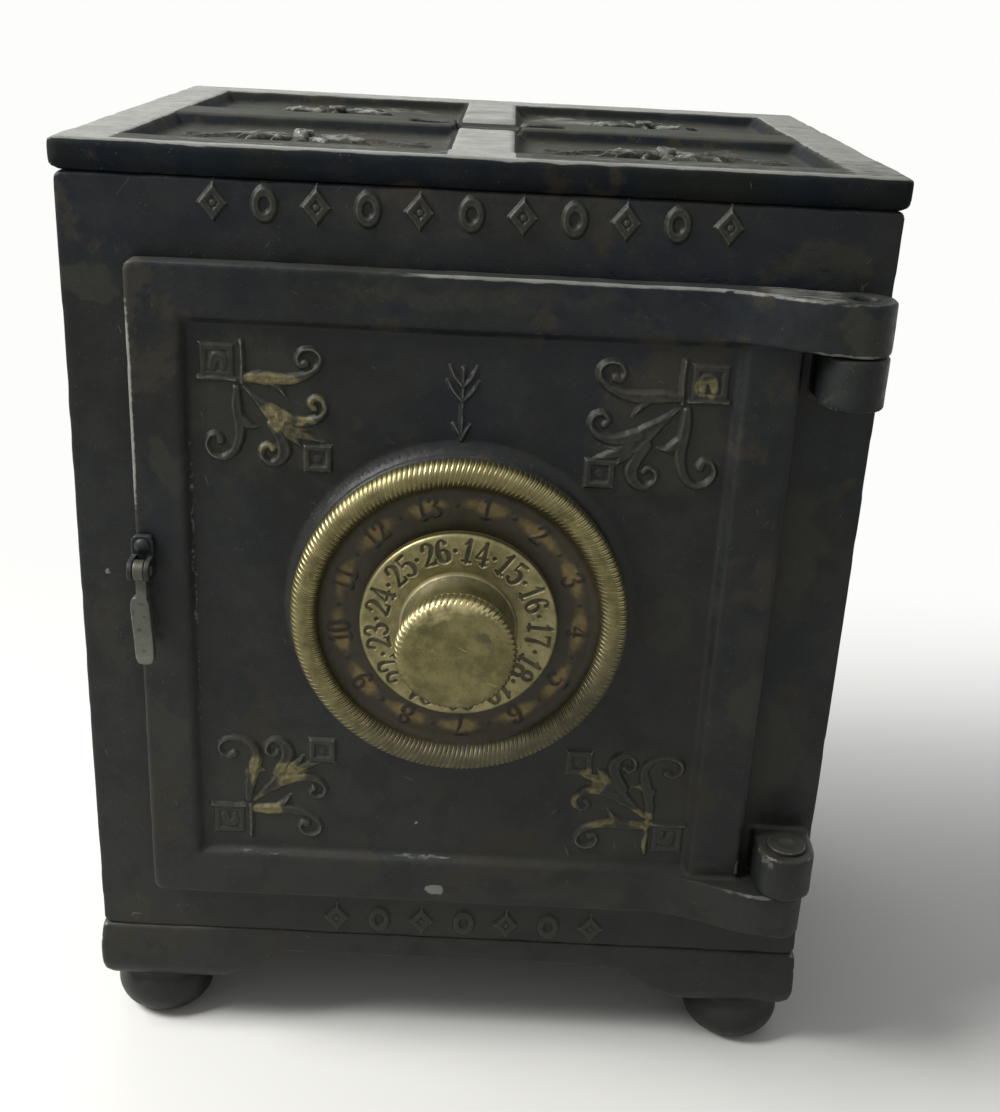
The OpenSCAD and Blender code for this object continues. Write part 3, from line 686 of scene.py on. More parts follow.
# Painted highlight lines along edges
DOOR_LINES = [
    (-49, 94, 3, 22, 0.80), (20, 115.5, 46, 3.0, 0.66), (53, 109, 8, 2.0, 0.50),
    (-20, 14.5, 30, 3.0, 0.40), (50, 19, 9, 4, 0.55),
]
FRONT_SOIL = [
    (-55.6, 112.3, 4.5, 3.0, 1.1), (-54.6, 3.0, 3.5, 3.0, 1.1), (50.3, 73.9, 6, 14, 0.8),
    (52, 40, 5, 14, 0.8), (0, 124, 44, 5.5, 0.55), (0, 3.5, 26, 4.5, 0.6), (-56, 60, 4, 20, 0.5),
    (50, 120, 9, 4, 0.9),
]
# The last pale place of the front is a painted glow behind the lower pin
FRONT_PALE = [(-55.8, 66.5, 0.6, 0.5, 1.1), (-54.4, 2.0, 1.6, 0.8, 0.5), (51.2, 24.4, 1.5, 2.4, 0.42)]
soil_front(door, DOOR_SOIL, DOOR_PALE, DOOR_LEDGES, DOOR_LINES)
soil_front(front_frame, FRONT_SOIL, FRONT_PALE)

# Boss behind the dial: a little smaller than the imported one, with no worn edge
BOSS_SHRINK = 1.2
boss = points_of(door) - DIAL_FRONT
boss_r = np.hypot(boss[:, 0], boss[:, 2])
on_boss = smooth(boss_r, 24.5, 26.0) * (1 - smooth(boss_r, 27.4, 28.4)) * smooth(-boss[:, 1], 2.5, 2.9)
shrink = BOSS_SHRINK * on_boss * smooth(-boss[:, 1], 2.6, 3.4) / np.maximum(boss_r, 1)
set_points(door, points_of(door) - boss * shrink[:, None] * (1, 0, 1))
add_to(door, "edge", -on_boss)

# Bracket with its pale worn edge kept only along the left, a painted highlight there, and handle with
# pits in its thumb piece and its top round the eye painted darker as shade
bracket_across = (points_of(bracket) - BODY_FRONT)[:, 0]
add_to(bracket, "edge", -0.45 * smooth(bracket_across, -50.6, -49.4))
HANDLE_PITS = [
    (-49.3, 60.0, 0.50, 0.42, 1.0), (-48.5, 62.1, 0.36, 0.30, 0.9), (-48.8, 64.2, 0.60, 0.28, 0.8),
    (-48.5, 56.9, 0.45, 0.34, 0.8), (-50.2, 62.8, 0.25, 0.9, 0.6),
]
handle_across, _, handle_up = (points_of(handle) - BODY_FRONT).T
pitted = soft_spots(handle_across, handle_up, HANDLE_PITS)
# Pits, and the top round the eye painted darker as shade
add_to(handle, "hollow", pitted + 0.6 * smooth(handle_up, 66, 67))

# Sizes of the top plate's ribs, in millimetres
TOP_RIM = 8.5
TOP_RIB = 9.0
CROSS_RIB = 11.0
top_low, top_high = low_of("top_plate"), high_of("top_plate")
top_middle = (top_low + top_high) / 2


def soil_top(piece):
    """Keeps painted reflections on the top's ribs and rims as "pale", its other faces as "halo", its
    fields as both
    """
    spots = points_of(piece)
    upper = smooth(normals_of(piece)[:, 2], 0.55, 0.9) * smooth(spots[:, 2], TOP_Z - 0.9, TOP_Z - 0.5)
    back = (spots[:, 1] - top_low[1]) / (top_high[1] - top_low[1])
    from_left = spots[:, 0] - top_low[0]
    from_right = top_high[0] - spots[:, 0]
    from_front = spots[:, 1] - top_low[1]
    from_back = top_high[1] - spots[:, 1]
    across_rib = np.abs(spots[:, 0] - top_middle[0])
    # The rib and rims are pale as a painted reflection of the bright surroundings: most on the rib and
    # the rear rim, brighter towards the back, more on the left rim than the right, and on the front rim
    # most at its edge
    rib = 1.3 * (1 - smooth(across_rib, TOP_RIB / 2 - 0.3, TOP_RIB / 2 + 0.5))
    on_left, on_right, on_rear = [1 - smooth(far, TOP_RIM - 0.5, TOP_RIM + 0.5)
                                  for far in (from_left, from_right, from_back)]
    left = on_left * (0.80 + 0.6 * smooth(back, 0.0, 0.5))
    right = on_right * (0.52 + 0.42 * smooth(back, 0.02, 0.6))
    rear = 1.1 * on_rear
    front = 0.62 * (1 - smooth(from_front, 1.0, 2.2)) + 0.38 * (1 - smooth(from_front, 6.5, TOP_RIM))
    worn = np.max([rib, left, right, rear, front], axis=0)
    sunk = smooth(normals_of(piece)[:, 2], 0.4, 0.8) * (1 - smooth(spots[:, 2], TOP_Z - 1.4, TOP_Z - 0.9))
    sunk *= smooth(from_front, 3, 5) * (1 - smooth(across_rib, 40, 50))
    dusted = sunk * (0.30 + 0.25 * cloud(spots, 6.0, 45)) * (spots[:, 2] > TOP_Z - 4)
    store(piece, "pale", np.maximum(upper * worn, dusted))
    store(piece, "halo", np.maximum(upper * (worn < 0.5), sunk * (spots[:, 2] > TOP_Z - 4)))


soil_top(top_plate)


# Cast relief, drawn as strokes on a grid

def through(controls, steps=6):
    """Smooth line through points that each carry a half width"""
    given = np.array(controls, float)
    padded = np.vstack([2 * given[0] - given[1], given, 2 * given[-1] - given[-2]])
    line = [given[0]]
    for k in range(len(given) - 1):
        a, b, c, d = padded[k:k + 4]
        for t in np.linspace(0, 1, steps + 1)[1:]:
            line.append(0.5 * (2 * b + (c - a) * t + (2 * a - 5 * b + 4 * c - d) * t * t
                               + (3 * b - a - 3 * c + d) * t ** 3))
    return np.array(line)


def stroke_depth(spots, line):
    """How far each spot lies inside a stroke of varying width, and how far out from its middle line"""
    depth = np.full(len(spots), -9.0)
    share = np.ones(len(spots))
    for start, end in zip(line[:-1], line[1:]):
        along = end[:2] - start[:2]
        t = np.clip((spots - start[:2]) @ along / max(along @ along, 1e-9), 0, 1)
        away = np.linalg.norm(spots - start[:2] - t[:, None] * along, axis=1)
        width = start[2] + (end[2] - start[2]) * t
        better = width - away > depth
        depth = np.where(better, width - away, depth)
        share = np.where(better, away / np.maximum(width, 0.01), share)
    return depth, share


# How far a relief reaches into the face that it stands on, and where a stroke's side starts to rise
SUNK = 0.3
STROKE_FOOT = -0.12


def sunk_beyond(outside):
    """Depth that a relief's skirt has dropped to at a distance outside its edge"""
    return SUNK * smooth(outside, 0.05, 0.3)


def stroke_height(spots, line, tall=0.70, dip=0.12, bold=1.0, rise=0.62):
    """Height of a cast stroke: steep soft edges and a slightly hollow back"""
    depth, share = stroke_depth(spots, line * (1, 1, bold))
    body = tall * smooth(depth, STROKE_FOOT, rise) - dip * smooth(1 - share, 0.1, 0.9)
    return np.where(depth > STROKE_FOOT, body, 0) - sunk_beyond(-depth), depth


def frame_height(spots, middle, half, band, tall):
    """Height of a square frame with a soft edge"""
    gap = np.max(np.abs(spots - middle), axis=1)
    depth = np.minimum(half - gap, gap - (half - 2 * band))
    return tall * smooth(depth, -0.1, 0.4) - sunk_beyond(gap - half), half - gap


def ring_height(spots, middle, radius, band, tall):
    """Height of a round ring with a soft edge"""
    away = np.linalg.norm(spots - middle, axis=1)
    depth = band - np.abs(away - radius)
    return tall * smooth(depth, -0.1, 0.4) - sunk_beyond(away - radius - band), radius + band - away


def relief(name, size, step, shapes, to_part, seed, gilding=None, rough=1.0):
    """Closed relief on a grid; each shape gives spots a height and a depth inside, gilding their gilt"""
    across = np.arange(size[0], size[1] + step, step)
    down = np.arange(size[2], size[3] + step, step)
    spots = np.stack(np.meshgrid(across, down, indexing="ij"), axis=-1).reshape(-1, 2)
    height = np.full(len(spots), -SUNK)
    depth = np.full(len(spots), -9.0)
    for make in shapes:
        rise, inside = make(spots)
        height = np.maximum(height, rise)
        depth = np.maximum(depth, inside)
    flat = np.column_stack([spots, np.zeros(len(spots))])
    height += rough * (0.09 * cloud(flat, 1.3, seed) + 0.05 * cloud(flat, 0.6, seed + 1)) * (height > 0)
    rows, columns = len(across), len(down)
    near = (depth > -0.4).reshape(rows, columns)
    i, j = np.nonzero(near[:-1, :-1] & near[1:, :-1] & near[:-1, 1:] & near[1:, 1:])
    corner = i * columns + j
    quads = np.column_stack([corner, corner + columns, corner + columns + 1, corner + 1])
    used = np.unique(quads)
    renumber = np.zeros(len(spots), int)
    renumber[used] = np.arange(len(used))
    quads = renumber[quads]
    top = np.column_stack([spots[used], height[used]])
    under = np.column_stack([spots[used], np.full(len(used), -SUNK - 0.3)])
    count = len(used)
    sides = np.vstack([quads[:, [k, (k + 1) % 4]] for k in range(4)])
    code = np.sort(sides, axis=1) @ np.array([count, 1])
    _, first, times = np.unique(code, return_index=True, return_counts=True)
    rim = sides[first[times == 1]]
    walls = np.column_stack([rim[:, 1], rim[:, 0], rim[:, 0] + count, rim[:, 1] + count])
    faces = np.vstack([quads, quads[:, ::-1] + count, walls])
    piece = new_piece(name, to_part(np.vstack([top, under])), faces.tolist())
    outwards(piece)
    mark_relief(piece, gain=5.0, blur=1)
    drift = np.column_stack([cloud(flat[used], 1.5, seed + 5), cloud(flat[used], 1.5, seed + 7)])
    gilt = np.zeros(2 * count)
    if gilding:
        gilt[:count] = gilding(spots[used] + 0.8 * drift) * smooth(height[used], 0.0, 0.25)
    store(piece, "gilt", gilt)
    return piece


def outwards(piece):
    """Turns a closed mesh's faces outwards"""
    made = bmesh.new()
    made.from_mesh(piece.data)
    bmesh.ops.recalc_face_normals(made, faces=made.faces)
    made.to_mesh(piece.data)
    made.free()


# Corner ornament, from the outer corner of its outer square: across, down and half width
BRANCH = [(6.9, 5.05, 0.60), (9.0, 4.95, 0.80), (12.0, 5.2, 0.82), (14.4, 4.9, 0.70), (16.4, 4.1, 0.58),
          (17.7, 2.9, 0.50), (18.0, 1.5, 0.44), (17.0, 0.5, 0.42), (15.4, 0.6, 0.42), (14.6, 1.8, 0.44),
          (15.1, 2.8, 0.52), (15.8, 2.6, 0.64)]
FALL = [(5.7, 6.8, 0.62), (5.7, 9.5, 0.78), (6.1, 12.5, 0.80), (5.9, 14.6, 0.70), (5.0, 16.6, 0.62),
        (3.6, 17.6, 0.52), (2.0, 17.2, 0.46), (1.1, 15.8, 0.44), (1.5, 14.3, 0.44), (2.6, 13.9, 0.50),
        (3.2, 14.8, 0.62)]
LOWER_FALL = [(6.2, 6.8, 0.62), (6.4, 9.5, 0.78), (7.1, 12.5, 0.85), (7.7, 15.0, 0.70),
              (7.0, 16.9, 0.62), (5.2, 17.9, 0.54), (3.2, 17.9, 0.48), (1.7, 16.9, 0.46),
              (1.7, 15.4, 0.44), (2.9, 14.6, 0.50), (4.0, 15.1, 0.64)]
BRANCH_THORN = [(11.4, 5.7, 0.70), (12.4, 6.9, 0.42), (13.1, 7.9, 0.12)]
FALL_THORN = [(6.4, 11.5, 0.80), (7.9, 12.4, 0.50), (9.3, 12.3, 0.15)]
TRUNK = [(6.6, 6.3, 0.30), (8.6, 8.2, 0.62), (10.6, 9.9, 1.10), (12.4, 11.6, 1.40), (14.0, 12.9, 1.0)]
UPPER_CURL = [(12.2, 10.6, 0.85), (14.2, 11.3, 0.78), (16.2, 11.4, 0.66), (17.9, 10.7, 0.54),
              (18.8, 9.4, 0.46), (18.4, 8.1, 0.46), (17.2, 7.7, 0.48), (16.4, 8.5, 0.48),
              (16.9, 9.3, 0.52)]
LOWER_CURL = [(11.0, 12.0, 0.85), (12.2, 14.2, 0.85), (12.7, 16.0, 0.92), (12.0, 17.5, 0.75),
              (10.6, 18.1, 0.52), (9.4, 17.2, 0.46), (9.3, 15.9, 0.46), (10.3, 15.2, 0.48),
              (11.0, 15.8, 0.54)]
LEAVES = [[(13.0, 11.9, 0.75), (14.8, 12.5, 0.42), (16.6, 12.5, 0.12)],
          [(13.5, 12.7, 0.85), (15.8, 13.6, 0.62), (18.4, 14.4, 0.14)],
          [(13.4, 13.2, 0.85), (14.5, 14.4, 0.52), (15.3, 15.3, 0.14)]]
BARS = [[(6.5, -0.1, 0.42), (6.6, 2.8, 0.46), (6.5, 5.8, 0.44)],
        [(0.2, 5.4, 0.42), (2.6, 5.3, 0.48), (5.6, 5.5, 0.42)]]
OUTER_SQUARE = (2.9, 2.7)
OUTER_HALF = 2.6
INNER_HALF = 2.25
LUMP = [(2.2, 3.6, 0.7), (2.7, 2.2, 0.8), (3.9, 2.4, 0.75), (3.9, 3.7, 0.6)]

# Each ornament: its corner on the door, the signs of its axes, its inner square, its fall, its growth,
# and its gilt places as middle, half sizes and strength
ORNAMENTS = {
    "upper_left": {
        "corner": (-40.1, 104.5), "signs": (1, -1), "inner": (17.6, 17.0), "fall": FALL, "grown": 1.0,
        "gilt": [(10.8, 5.0, 5.4, 1.5, 0.85), (11.5, 10.4, 3.0, 3.0, 1.0), (16.0, 11.3, 2.3, 1.0, 1.0),
                 (17.6, 8.3, 2.1, 1.6, 0.90), (10.3, 15.6, 1.9, 1.3, 0.75), (14.5, 13.0, 3.4, 2.2, 0.55),
                 (5.9, 11.0, 1.5, 6.0, 0.28), (17.4, 17.3, 2.2, 0.8, 0.40)],
    },
    "upper_right": {
        "corner": (37.9, 104.9), "signs": (-1, -1), "inner": (17.1, 16.4), "fall": FALL, "grown": 1.07,
        "gilt": [(3.2, 3.4, 2.2, 1.9, 0.75), (11.0, 5.2, 4.6, 1.1, 0.34), (15.0, 12.0, 3.5, 1.8, 0.18)],
    },
    "lower_left": {
        "corner": (-40.1, 21.2), "signs": (1, 1), "inner": (18.3, 16.5), "fall": LOWER_FALL, "grown": 1.0,
        "gilt": [(13.0, 12.2, 3.6, 3.2, 0.85), (9.4, 5.8, 3.6, 2.3, 1.0), (7.8, 12.0, 2.2, 4.4, 0.85)],
    },
    "lower_right": {
        "corner": (38.4, 21.3), "signs": (-1, 1), "inner": (18.4, 16.4), "fall": LOWER_FALL, "grown": 1.0,
        "gilt": [(7.6, 6.4, 2.6, 2.4, 1.0), (6.6, 2.2, 0.9, 3.2, 0.8), (14.8, 5.8, 3.6, 2.2, 0.8),
                 (16.0, 13.2, 3.8, 3.2, 0.9), (18.6, 9.2, 1.8, 1.8, 0.85), (9.0, 12.2, 1.4, 1.6, 0.75)],
    },
}


def drawn(controls, **looks):
    """Shape of one stroke"""
    line = through(controls)
    return lambda spots: stroke_height(spots, line, **looks)


def ornament_shapes(inner, fall):
    """Shapes of one corner ornament"""
    strokes = [BRANCH, fall, BRANCH_THORN, FALL_THORN, UPPER_CURL, LOWER_CURL, *LEAVES, *BARS]
    return [drawn(stroke, bold=1.28) for stroke in strokes] + [
        drawn(TRUNK, dip=0.25, bold=1.15),
        drawn(LUMP, tall=0.5, bold=1.2),
        lambda spots: frame_height(spots, OUTER_SQUARE, OUTER_HALF, band=0.6, tall=0.30),
        lambda spots: frame_height(spots, inner, INNER_HALF, band=0.62, tall=0.42),
        lambda spots: ring_height(spots, inner, 0.0, 0.75, tall=0.2),
    ]


def on_door(corner, signs, plane=PANEL_Y, grown=1.0):
    """From across, down and height on the door's face to the part's frame"""
    def to_part(points):
        return np.column_stack([
            corner[0] + signs[0] * points[:, 0] * grown,
            plane - points[:, 2],
            WALL_FOOT + corner[1] + signs[1] * points[:, 1] * grown,
        ])
    return to_part


for place, look in ORNAMENTS.items():
    ornament = relief("ornament_" + place, (-0.6, 21.0, -0.9, 21.0), 0.14,
                      ornament_shapes(look["inner"], look["fall"]),
                      on_door(look["corner"], look["signs"], grown=look["grown"]), seed=len(place),
                      gilding=lambda spots: soft_spots(spots[:, 0], spots[:, 1], look["gilt"]))
    store(ornament, "halo", 0.6)
    finish(ornament, "door", GILT_IRON)


# Index arrow above the dial, pointing down at it: across and down from its top, and half width
ARROW = [
    [(0, 0.6, 0.3), (0, 4.5, 0.32), (0, 9.3, 0.34), (0, 11.2, 0.3)],
    [(-2.0, 0.2, 0.16), (-1.2, 1.9, 0.34), (0, 3.3, 0.36)],
    [(2.0, 0.2, 0.16), (1.2, 1.9, 0.34), (0, 3.3, 0.36)],
    [(-2.3, 2.4, 0.16), (-1.3, 4.1, 0.34), (0, 5.5, 0.36)],
    [(2.3, 2.4, 0.16), (1.3, 4.1, 0.34), (0, 5.5, 0.36)],
    [(-1.2, 9.0, 0.2), (-0.5, 10.2, 0.4), (0, 11.4, 0.3)],
    [(1.2, 9.0, 0.2), (0.5, 10.2, 0.4), (0, 11.4, 0.3)],
]
ARROW_TOP = (-1.2, 102.9)
arrow = relief("index_arrow", (-3.2, 3.2, -0.6, 12.0), 0.12,
               [drawn(line, tall=0.5, dip=0.05, bold=1.4) for line in ARROW],
               on_door(ARROW_TOP, (1, -1)), seed=21)
finish(arrow, "door", GILT_IRON)


# Rows of raised lozenges and rings on the bands above and below the door

MOTIF_PITCH = 7.32
MOTIF_W = 2.35
MOTIF_H = 2.9
MOTIF_TALL = 0.58
BEAD_R = 0.75


def lozenge_height(spots, half_w, half_h, band=0.75):
    """Height of a lozenge-shaped frame with a bead in its middle"""
    slope = 1 / math.hypot(1 / half_w, 1 / half_h)
    inside = (1 - np.abs(spots[:, 0]) / half_w - np.abs(spots[:, 1]) / half_h) * slope
    edge = np.minimum(inside, 2 * band - inside)
    bead = BEAD_R - np.linalg.norm(spots, axis=1)
    height = MOTIF_TALL * np.maximum(smooth(edge, -0.1, 0.5), smooth(bead, -0.1, 0.5))
    return height - sunk_beyond(-inside), inside


def oval_height(spots, half_w, half_h, band=0.72):
    """Height of an upright oval ring"""
    away = np.hypot(spots[:, 0] / half_w, spots[:, 1] / half_h)
    inside = (1 - away) * min(half_w, half_h)
    edge = np.minimum(inside, 2 * band - inside)
    return MOTIF_TALL * smooth(edge, -0.1, 0.5) - sunk_beyond(-inside), inside


def geometry_group(name, **kinds):
    """Geometry node group whose inputs are a mesh, a material and more by kind; its output is a mesh"""
    tree = bpy.data.node_groups.new(name, "GeometryNodeTree")
    kinds = {"Geometry": "Geometry", **kinds, "Material": "Material"}
    labels = [label.replace("_", " ") for label in kinds]
    for label, kind in zip(labels, kinds.values()):
        tree.interface.new_socket(label, in_out="INPUT", socket_type="NodeSocket" + kind)
    tree.interface.new_socket("Geometry", in_out="OUTPUT", socket_type="NodeSocketGeometry")
    source = tree.nodes.new("NodeGroupInput")
    return Graph(tree), {label: Wire(tree, source.outputs[label]) for label in labels}


def dressed_tree(made, geometry, material):
    """Ends a geometry group: the geometry with its material is what comes out"""
    sink = made.tree.nodes.new("NodeGroupOutput")
    dressed = made.add("GeometryNodeSetMaterial", Geometry=geometry, Material=material)
    plug(made.tree, dressed, sink.inputs[0])
    return made.tree


def row_tree():
    """Geometry tree that repeats a motif along X"""
    made, given = geometry_group("Row of motifs", Count="Int", Pitch="Float")
    step = made.add("ShaderNodeCombineXYZ", X=given["Pitch"])
    line = made.add("GeometryNodeMeshLine", Count=given["Count"], Offset=step)
    copies = made.add("GeometryNodeInstanceOnPoints", Points=line, Instance=given["Geometry"])
    real = made.add("GeometryNodeRealizeInstances", Geometry=copies)
    return dressed_tree(made, real, given["Material"])


def run_tree(piece, tree, **inputs):
    """Runs a geometry tree on a piece and keeps the result as its mesh"""
    modifier = piece.modifiers.new(tree.name, "NODES")
    modifier.node_group = tree
    for item in tree.interface.items_tree:
        label = item.name.replace(" ", "_")
        if item.in_out == "INPUT" and label in inputs:
            modifier[item.identifier] = inputs[label]
    return bake(piece)


ROW = row_tree()


def motif_row(name, first, height_z, count, shape, gold, seed):
    """Every second motif of a band, as one piece"""
    piece = relief(name, (-3.2, 3.2, -3.6, 3.6), 0.14, [shape],
                   on_door((first, height_z), (1, -1), FRONT_Y), seed,
                   gilding=lambda spots: np.full(len(spots), gold))
    store(piece, "halo", 0.7)
    run_tree(piece, ROW, Count=count, Pitch=2 * MOTIF_PITCH * MM, Material=GILT_IRON)
    finish(piece, "safe", GILT_IRON)


# Each band: its first motif's place across, its height, its number of motifs, and how gilt they are
BANDS = {"upper": (-37.6, 124.0, 11, 0.24), "lower": (-19.6, 3.5, 7, 0.10)}
for band, (band_x, band_z, motifs, gold) in BANDS.items():
    motif_row(band + "_band_lozenges", band_x, band_z, (motifs + 1) // 2,
              lambda spots: lozenge_height(spots, MOTIF_W, MOTIF_H), gold, 31)
    motif_row(band + "_band_ovals", band_x + MOTIF_PITCH, band_z, motifs // 2,
              lambda spots: oval_height(spots, MOTIF_W * 0.85, MOTIF_H * 0.95), gold, 37)


# Dials

def lathe(name, profile, segments, lift):
    """Closed shape turned about the dial's axis from radii and distances; lift gives rise and stamp"""
    profile = np.array(profile, float)
    angle = np.linspace(0, 2 * math.pi, segments, endpoint=False)
    rings = []
    index = []
    total = 0
    for radius, out in profile:
        if radius < 1e-6:
            rings.append([[0, 0, out]])
            index.append(np.full(segments, total))
            total += 1
            continue
        rings.append(np.column_stack([angle, np.full(segments, radius), np.full(segments, out)]))
        index.append(total + np.arange(segments))
        total += segments
    turned = np.vstack(rings)
    rise, marks = lift(*turned.T)
    turned[:, 2] += rise
    faces = []
    for k in range(len(profile)):
        here = index[k]
        there = index[(k + 1) % len(profile)]
        for a, b, c, d in zip(here, np.roll(here, -1), np.roll(there, -1), there):
            corners = [a, b, c, d]
            face = [v for n, v in enumerate(corners) if v not in corners[:n]]
            if len(face) > 2:
                faces.append([int(v) for v in face])
    points = np.column_stack([
        DIAL_X + turned[:, 1] * np.sin(turned[:, 0]),
        FRONT_Y - turned[:, 2],
        DIAL_Z + turned[:, 1] * np.cos(turned[:, 0]),
    ])
    piece = new_piece(name, points, faces)
    outwards(piece)
    store(piece, "stamp", marks)
    return piece


def arc(middle, radius, start, end, steps):
    """Points on an arc in the profile plane, angles in degrees from outwards in radius"""
    turn = np.radians(np.linspace(start, end, steps))
    return [(middle[0] + radius * math.cos(t), middle[1] + radius * math.sin(t)) for t in turn]


def spread(start, end, steps):
    """Evenly spaced points from start to end, without the end"""
    return [(start[0] + (end[0] - start[0]) * k / steps, start[1] + (end[1] - start[1]) * k / steps)
            for k in range(steps)]


# Plain digits as strokes: across, up and half width, in hundredths of the digit's height
SIX = [
    [(50, 88, 6), (38, 99, 5), (20, 88, 7), (9, 60, 10), (7, 32, 11), (16, 7, 8), (32, 0, 5), (50, 12, 9),
     (53, 33, 10), (40, 54, 6), (22, 52, 5), (10, 36, 6)],
    [(48, 85, 8), (50, 84, 9)],
]
DIGITS = {
    "0": [[(30, 0, 5), (9, 20, 10), (6, 50, 11), (10, 80, 10), (30, 100, 5), (50, 80, 10), (54, 50, 11),
           (51, 20, 10), (30, 0, 5)]],
    "1": [[(32, 0, 9), (32, 100, 9)], [(12, 78, 4), (30, 97, 6)], [(12, 2, 5), (52, 2, 5)]],
    "2": [[(8, 74, 8), (13, 92, 6), (30, 100, 5), (50, 86, 9), (50, 66, 10), (30, 34, 6), (6, 3, 5)],
          [(6, 4, 6), (54, 5, 7)], [(54, 4, 5), (57, 22, 3)]],
    "3": [[(8, 82, 7), (20, 97, 5), (37, 98, 6), (50, 82, 10), (42, 61, 7), (25, 53, 4)],
          [(25, 53, 4), (45, 46, 7), (55, 26, 11), (43, 5, 7), (24, 0, 5), (7, 15, 8)]],
    "4": [[(43, 0, 9), (43, 100, 8)], [(42, 98, 5), (4, 30, 4)], [(4, 28, 5), (60, 28, 5)],
          [(26, 2, 4), (58, 2, 4)]],
    "5": [[(13, 96, 6), (52, 96, 7)], [(14, 96, 4), (11, 56, 4)],
          [(11, 56, 4), (30, 63, 5), (51, 51, 9), (55, 28, 11), (44, 6, 8), (24, 0, 5), (7, 13, 8)]],
    "6": SIX,
    "7": [[(6, 95, 7), (55, 95, 7)], [(6, 96, 4), (5, 78, 3)], [(55, 93, 5), (36, 50, 8), (28, 0, 11)]],
    "8": [[(30, 54, 5), (11, 67, 9), (11, 87, 8), (30, 100, 5), (49, 87, 8), (49, 67, 9), (30, 54, 5)],
          [(30, 54, 5), (8, 39, 10), (8, 14, 10), (30, 0, 5), (52, 14, 10), (52, 39, 10), (30, 54, 5)]],
    "9": [[(60 - x, 100 - y, w) for x, y, w in stroke] for stroke in SIX],
}

# Width of digits that stand side by side, numbers on a dial, and radius of the dots between them
NARROW = 0.88
PER_RING = 13
DOT_R = 0.34


def number_strokes(number, tall, bold):
    """Lines of a number's digits, centred, at a height in millimetres"""
    text = str(number)
    squeeze = NARROW if len(text) > 1 else 1.0
    width = (0.6 * len(text) + 0.1 * (len(text) - 1)) * squeeze
    lines = []
    for place, digit in enumerate(text):
        left = place * 0.7 * squeeze - width / 2
        for stroke in DIGITS[digit]:
            moved = [((left + x / 100 * squeeze) * tall, (y / 100 - 0.5) * tall, w / 100 * tall * bold)
                     for x, y, w in stroke]
            lines.append(through(moved, 5) if len(moved) > 2 else np.array(moved))
    return lines


def flat_spots(angle, radius, *more):
    """Spots across and up from angles about the dial's axis and radii"""
    return np.column_stack([radius * np.sin(angle), radius * np.cos(angle), *more])


def dial_marks(angle, radius, first, middle_r, tall, bold, start):
    """Depth inside the strokes of a ring of numbers with dots between them, less than 0 outside"""
    depth = np.full(len(angle), -9.0)
    pitch = 2 * math.pi / PER_RING
    for k in range(PER_RING):
        for number, turn in ((first + k, k * pitch), (None, (k + 0.5) * pitch)):
            off = (angle - math.radians(start) - turn + math.pi) % (2 * math.pi) - math.pi
            near = np.nonzero((np.abs(off) < pitch * 0.55) & (np.abs(radius - middle_r) < tall * 0.75))[0]
            spots = flat_spots(off[near], radius[near]) - (0, middle_r)
            if number is None:
                depth[near] = np.maximum(depth[near], DOT_R - np.linalg.norm(spots, axis=1))
                continue
            for line in number_strokes(number, tall, bold):
                depth[near] = np.maximum(depth[near], stroke_depth(spots, line)[0])
    return depth


def knurl_tree():
    """Geometry tree of a ring with slanted ridges; its section is a superellipse"""
    made, given = geometry_group(
        "Knurled ring", Ring_radius="Float", Half_width="Float", Half_height="Float", Squareness="Float",
        Ridges="Int", Steps_per_ridge="Int", Section_steps="Int", Ridge_depth="Float", Slant="Float",
        Lean="Float", Smooth_crest="Float", Ridge_start="Float", Ridge_end="Float", Centre="Vector")
    grid = made.add("GeometryNodeMeshGrid", Size_X=1.0, Size_Y=1.0,
                    Vertices_X=given["Ridges"] * given["Steps per ridge"] + 1.0,
                    Vertices_Y=given["Section steps"] + 1.0)
    split = made.tree.nodes.new("ShaderNodeSeparateXYZ")
    plug(made.tree, made.add("GeometryNodeInputPosition"), split.inputs[0])
    u = Wire(made.tree, split.outputs[0]) + 0.5
    v = Wire(made.tree, split.outputs[1]) + 0.5
    section = v * (2 * math.pi)
    outer = section.math("COSINE")
    front = section.math("SINE")
    square_outer, square_front = [
        wave.math("ABSOLUTE").math("POWER", given["Squareness"]) * wave.math("SIGN")
        for wave in (outer, front)]
    drift = square_front * given["Slant"] + outer * given["Lean"]
    turn = (u - drift / given["Ridges"]) * (2 * math.pi)
    phase = (u * given["Ridges"]).math("FRACT")
    groove = made.step((phase - 0.5).math("ABSOLUTE"), 0.20, 0.48)
    shown = made.step(outer, given["Ridge start"], given["Ridge start"] + 0.3)
    shown = shown * made.step(front * -1.0, given["Ridge end"] * -1.0, given["Ridge end"] * -1.0 + 0.35)
    shown = shown * (given["Smooth crest"] * made.step(front, 0.80, 0.99) * -1.0 + 1.0)
    cut = groove * shown * given["Ridge depth"]
    radius = given["Ring radius"] + square_outer * (given["Half width"] - cut)
    out = square_front * (given["Half height"] - cut * 0.7)
    place = made.add("ShaderNodeCombineXYZ", X=turn.math("SINE") * radius, Y=out * -1.0,
                     Z=turn.math("COSINE") * radius)
    moved = made.tree.nodes.new("ShaderNodeVectorMath")
    plug(made.tree, place, moved.inputs[0])
    plug(made.tree, given["Centre"], moved.inputs[1])
    ring = made.add("GeometryNodeSetPosition", Geometry=grid, Position=Wire(made.tree, moved.outputs[0]))
    closed = made.add("GeometryNodeMergeByDistance", Geometry=ring, Distance=0.00001)
    return dressed_tree(made, closed, given["Material"])


KNURL = knurl_tree()


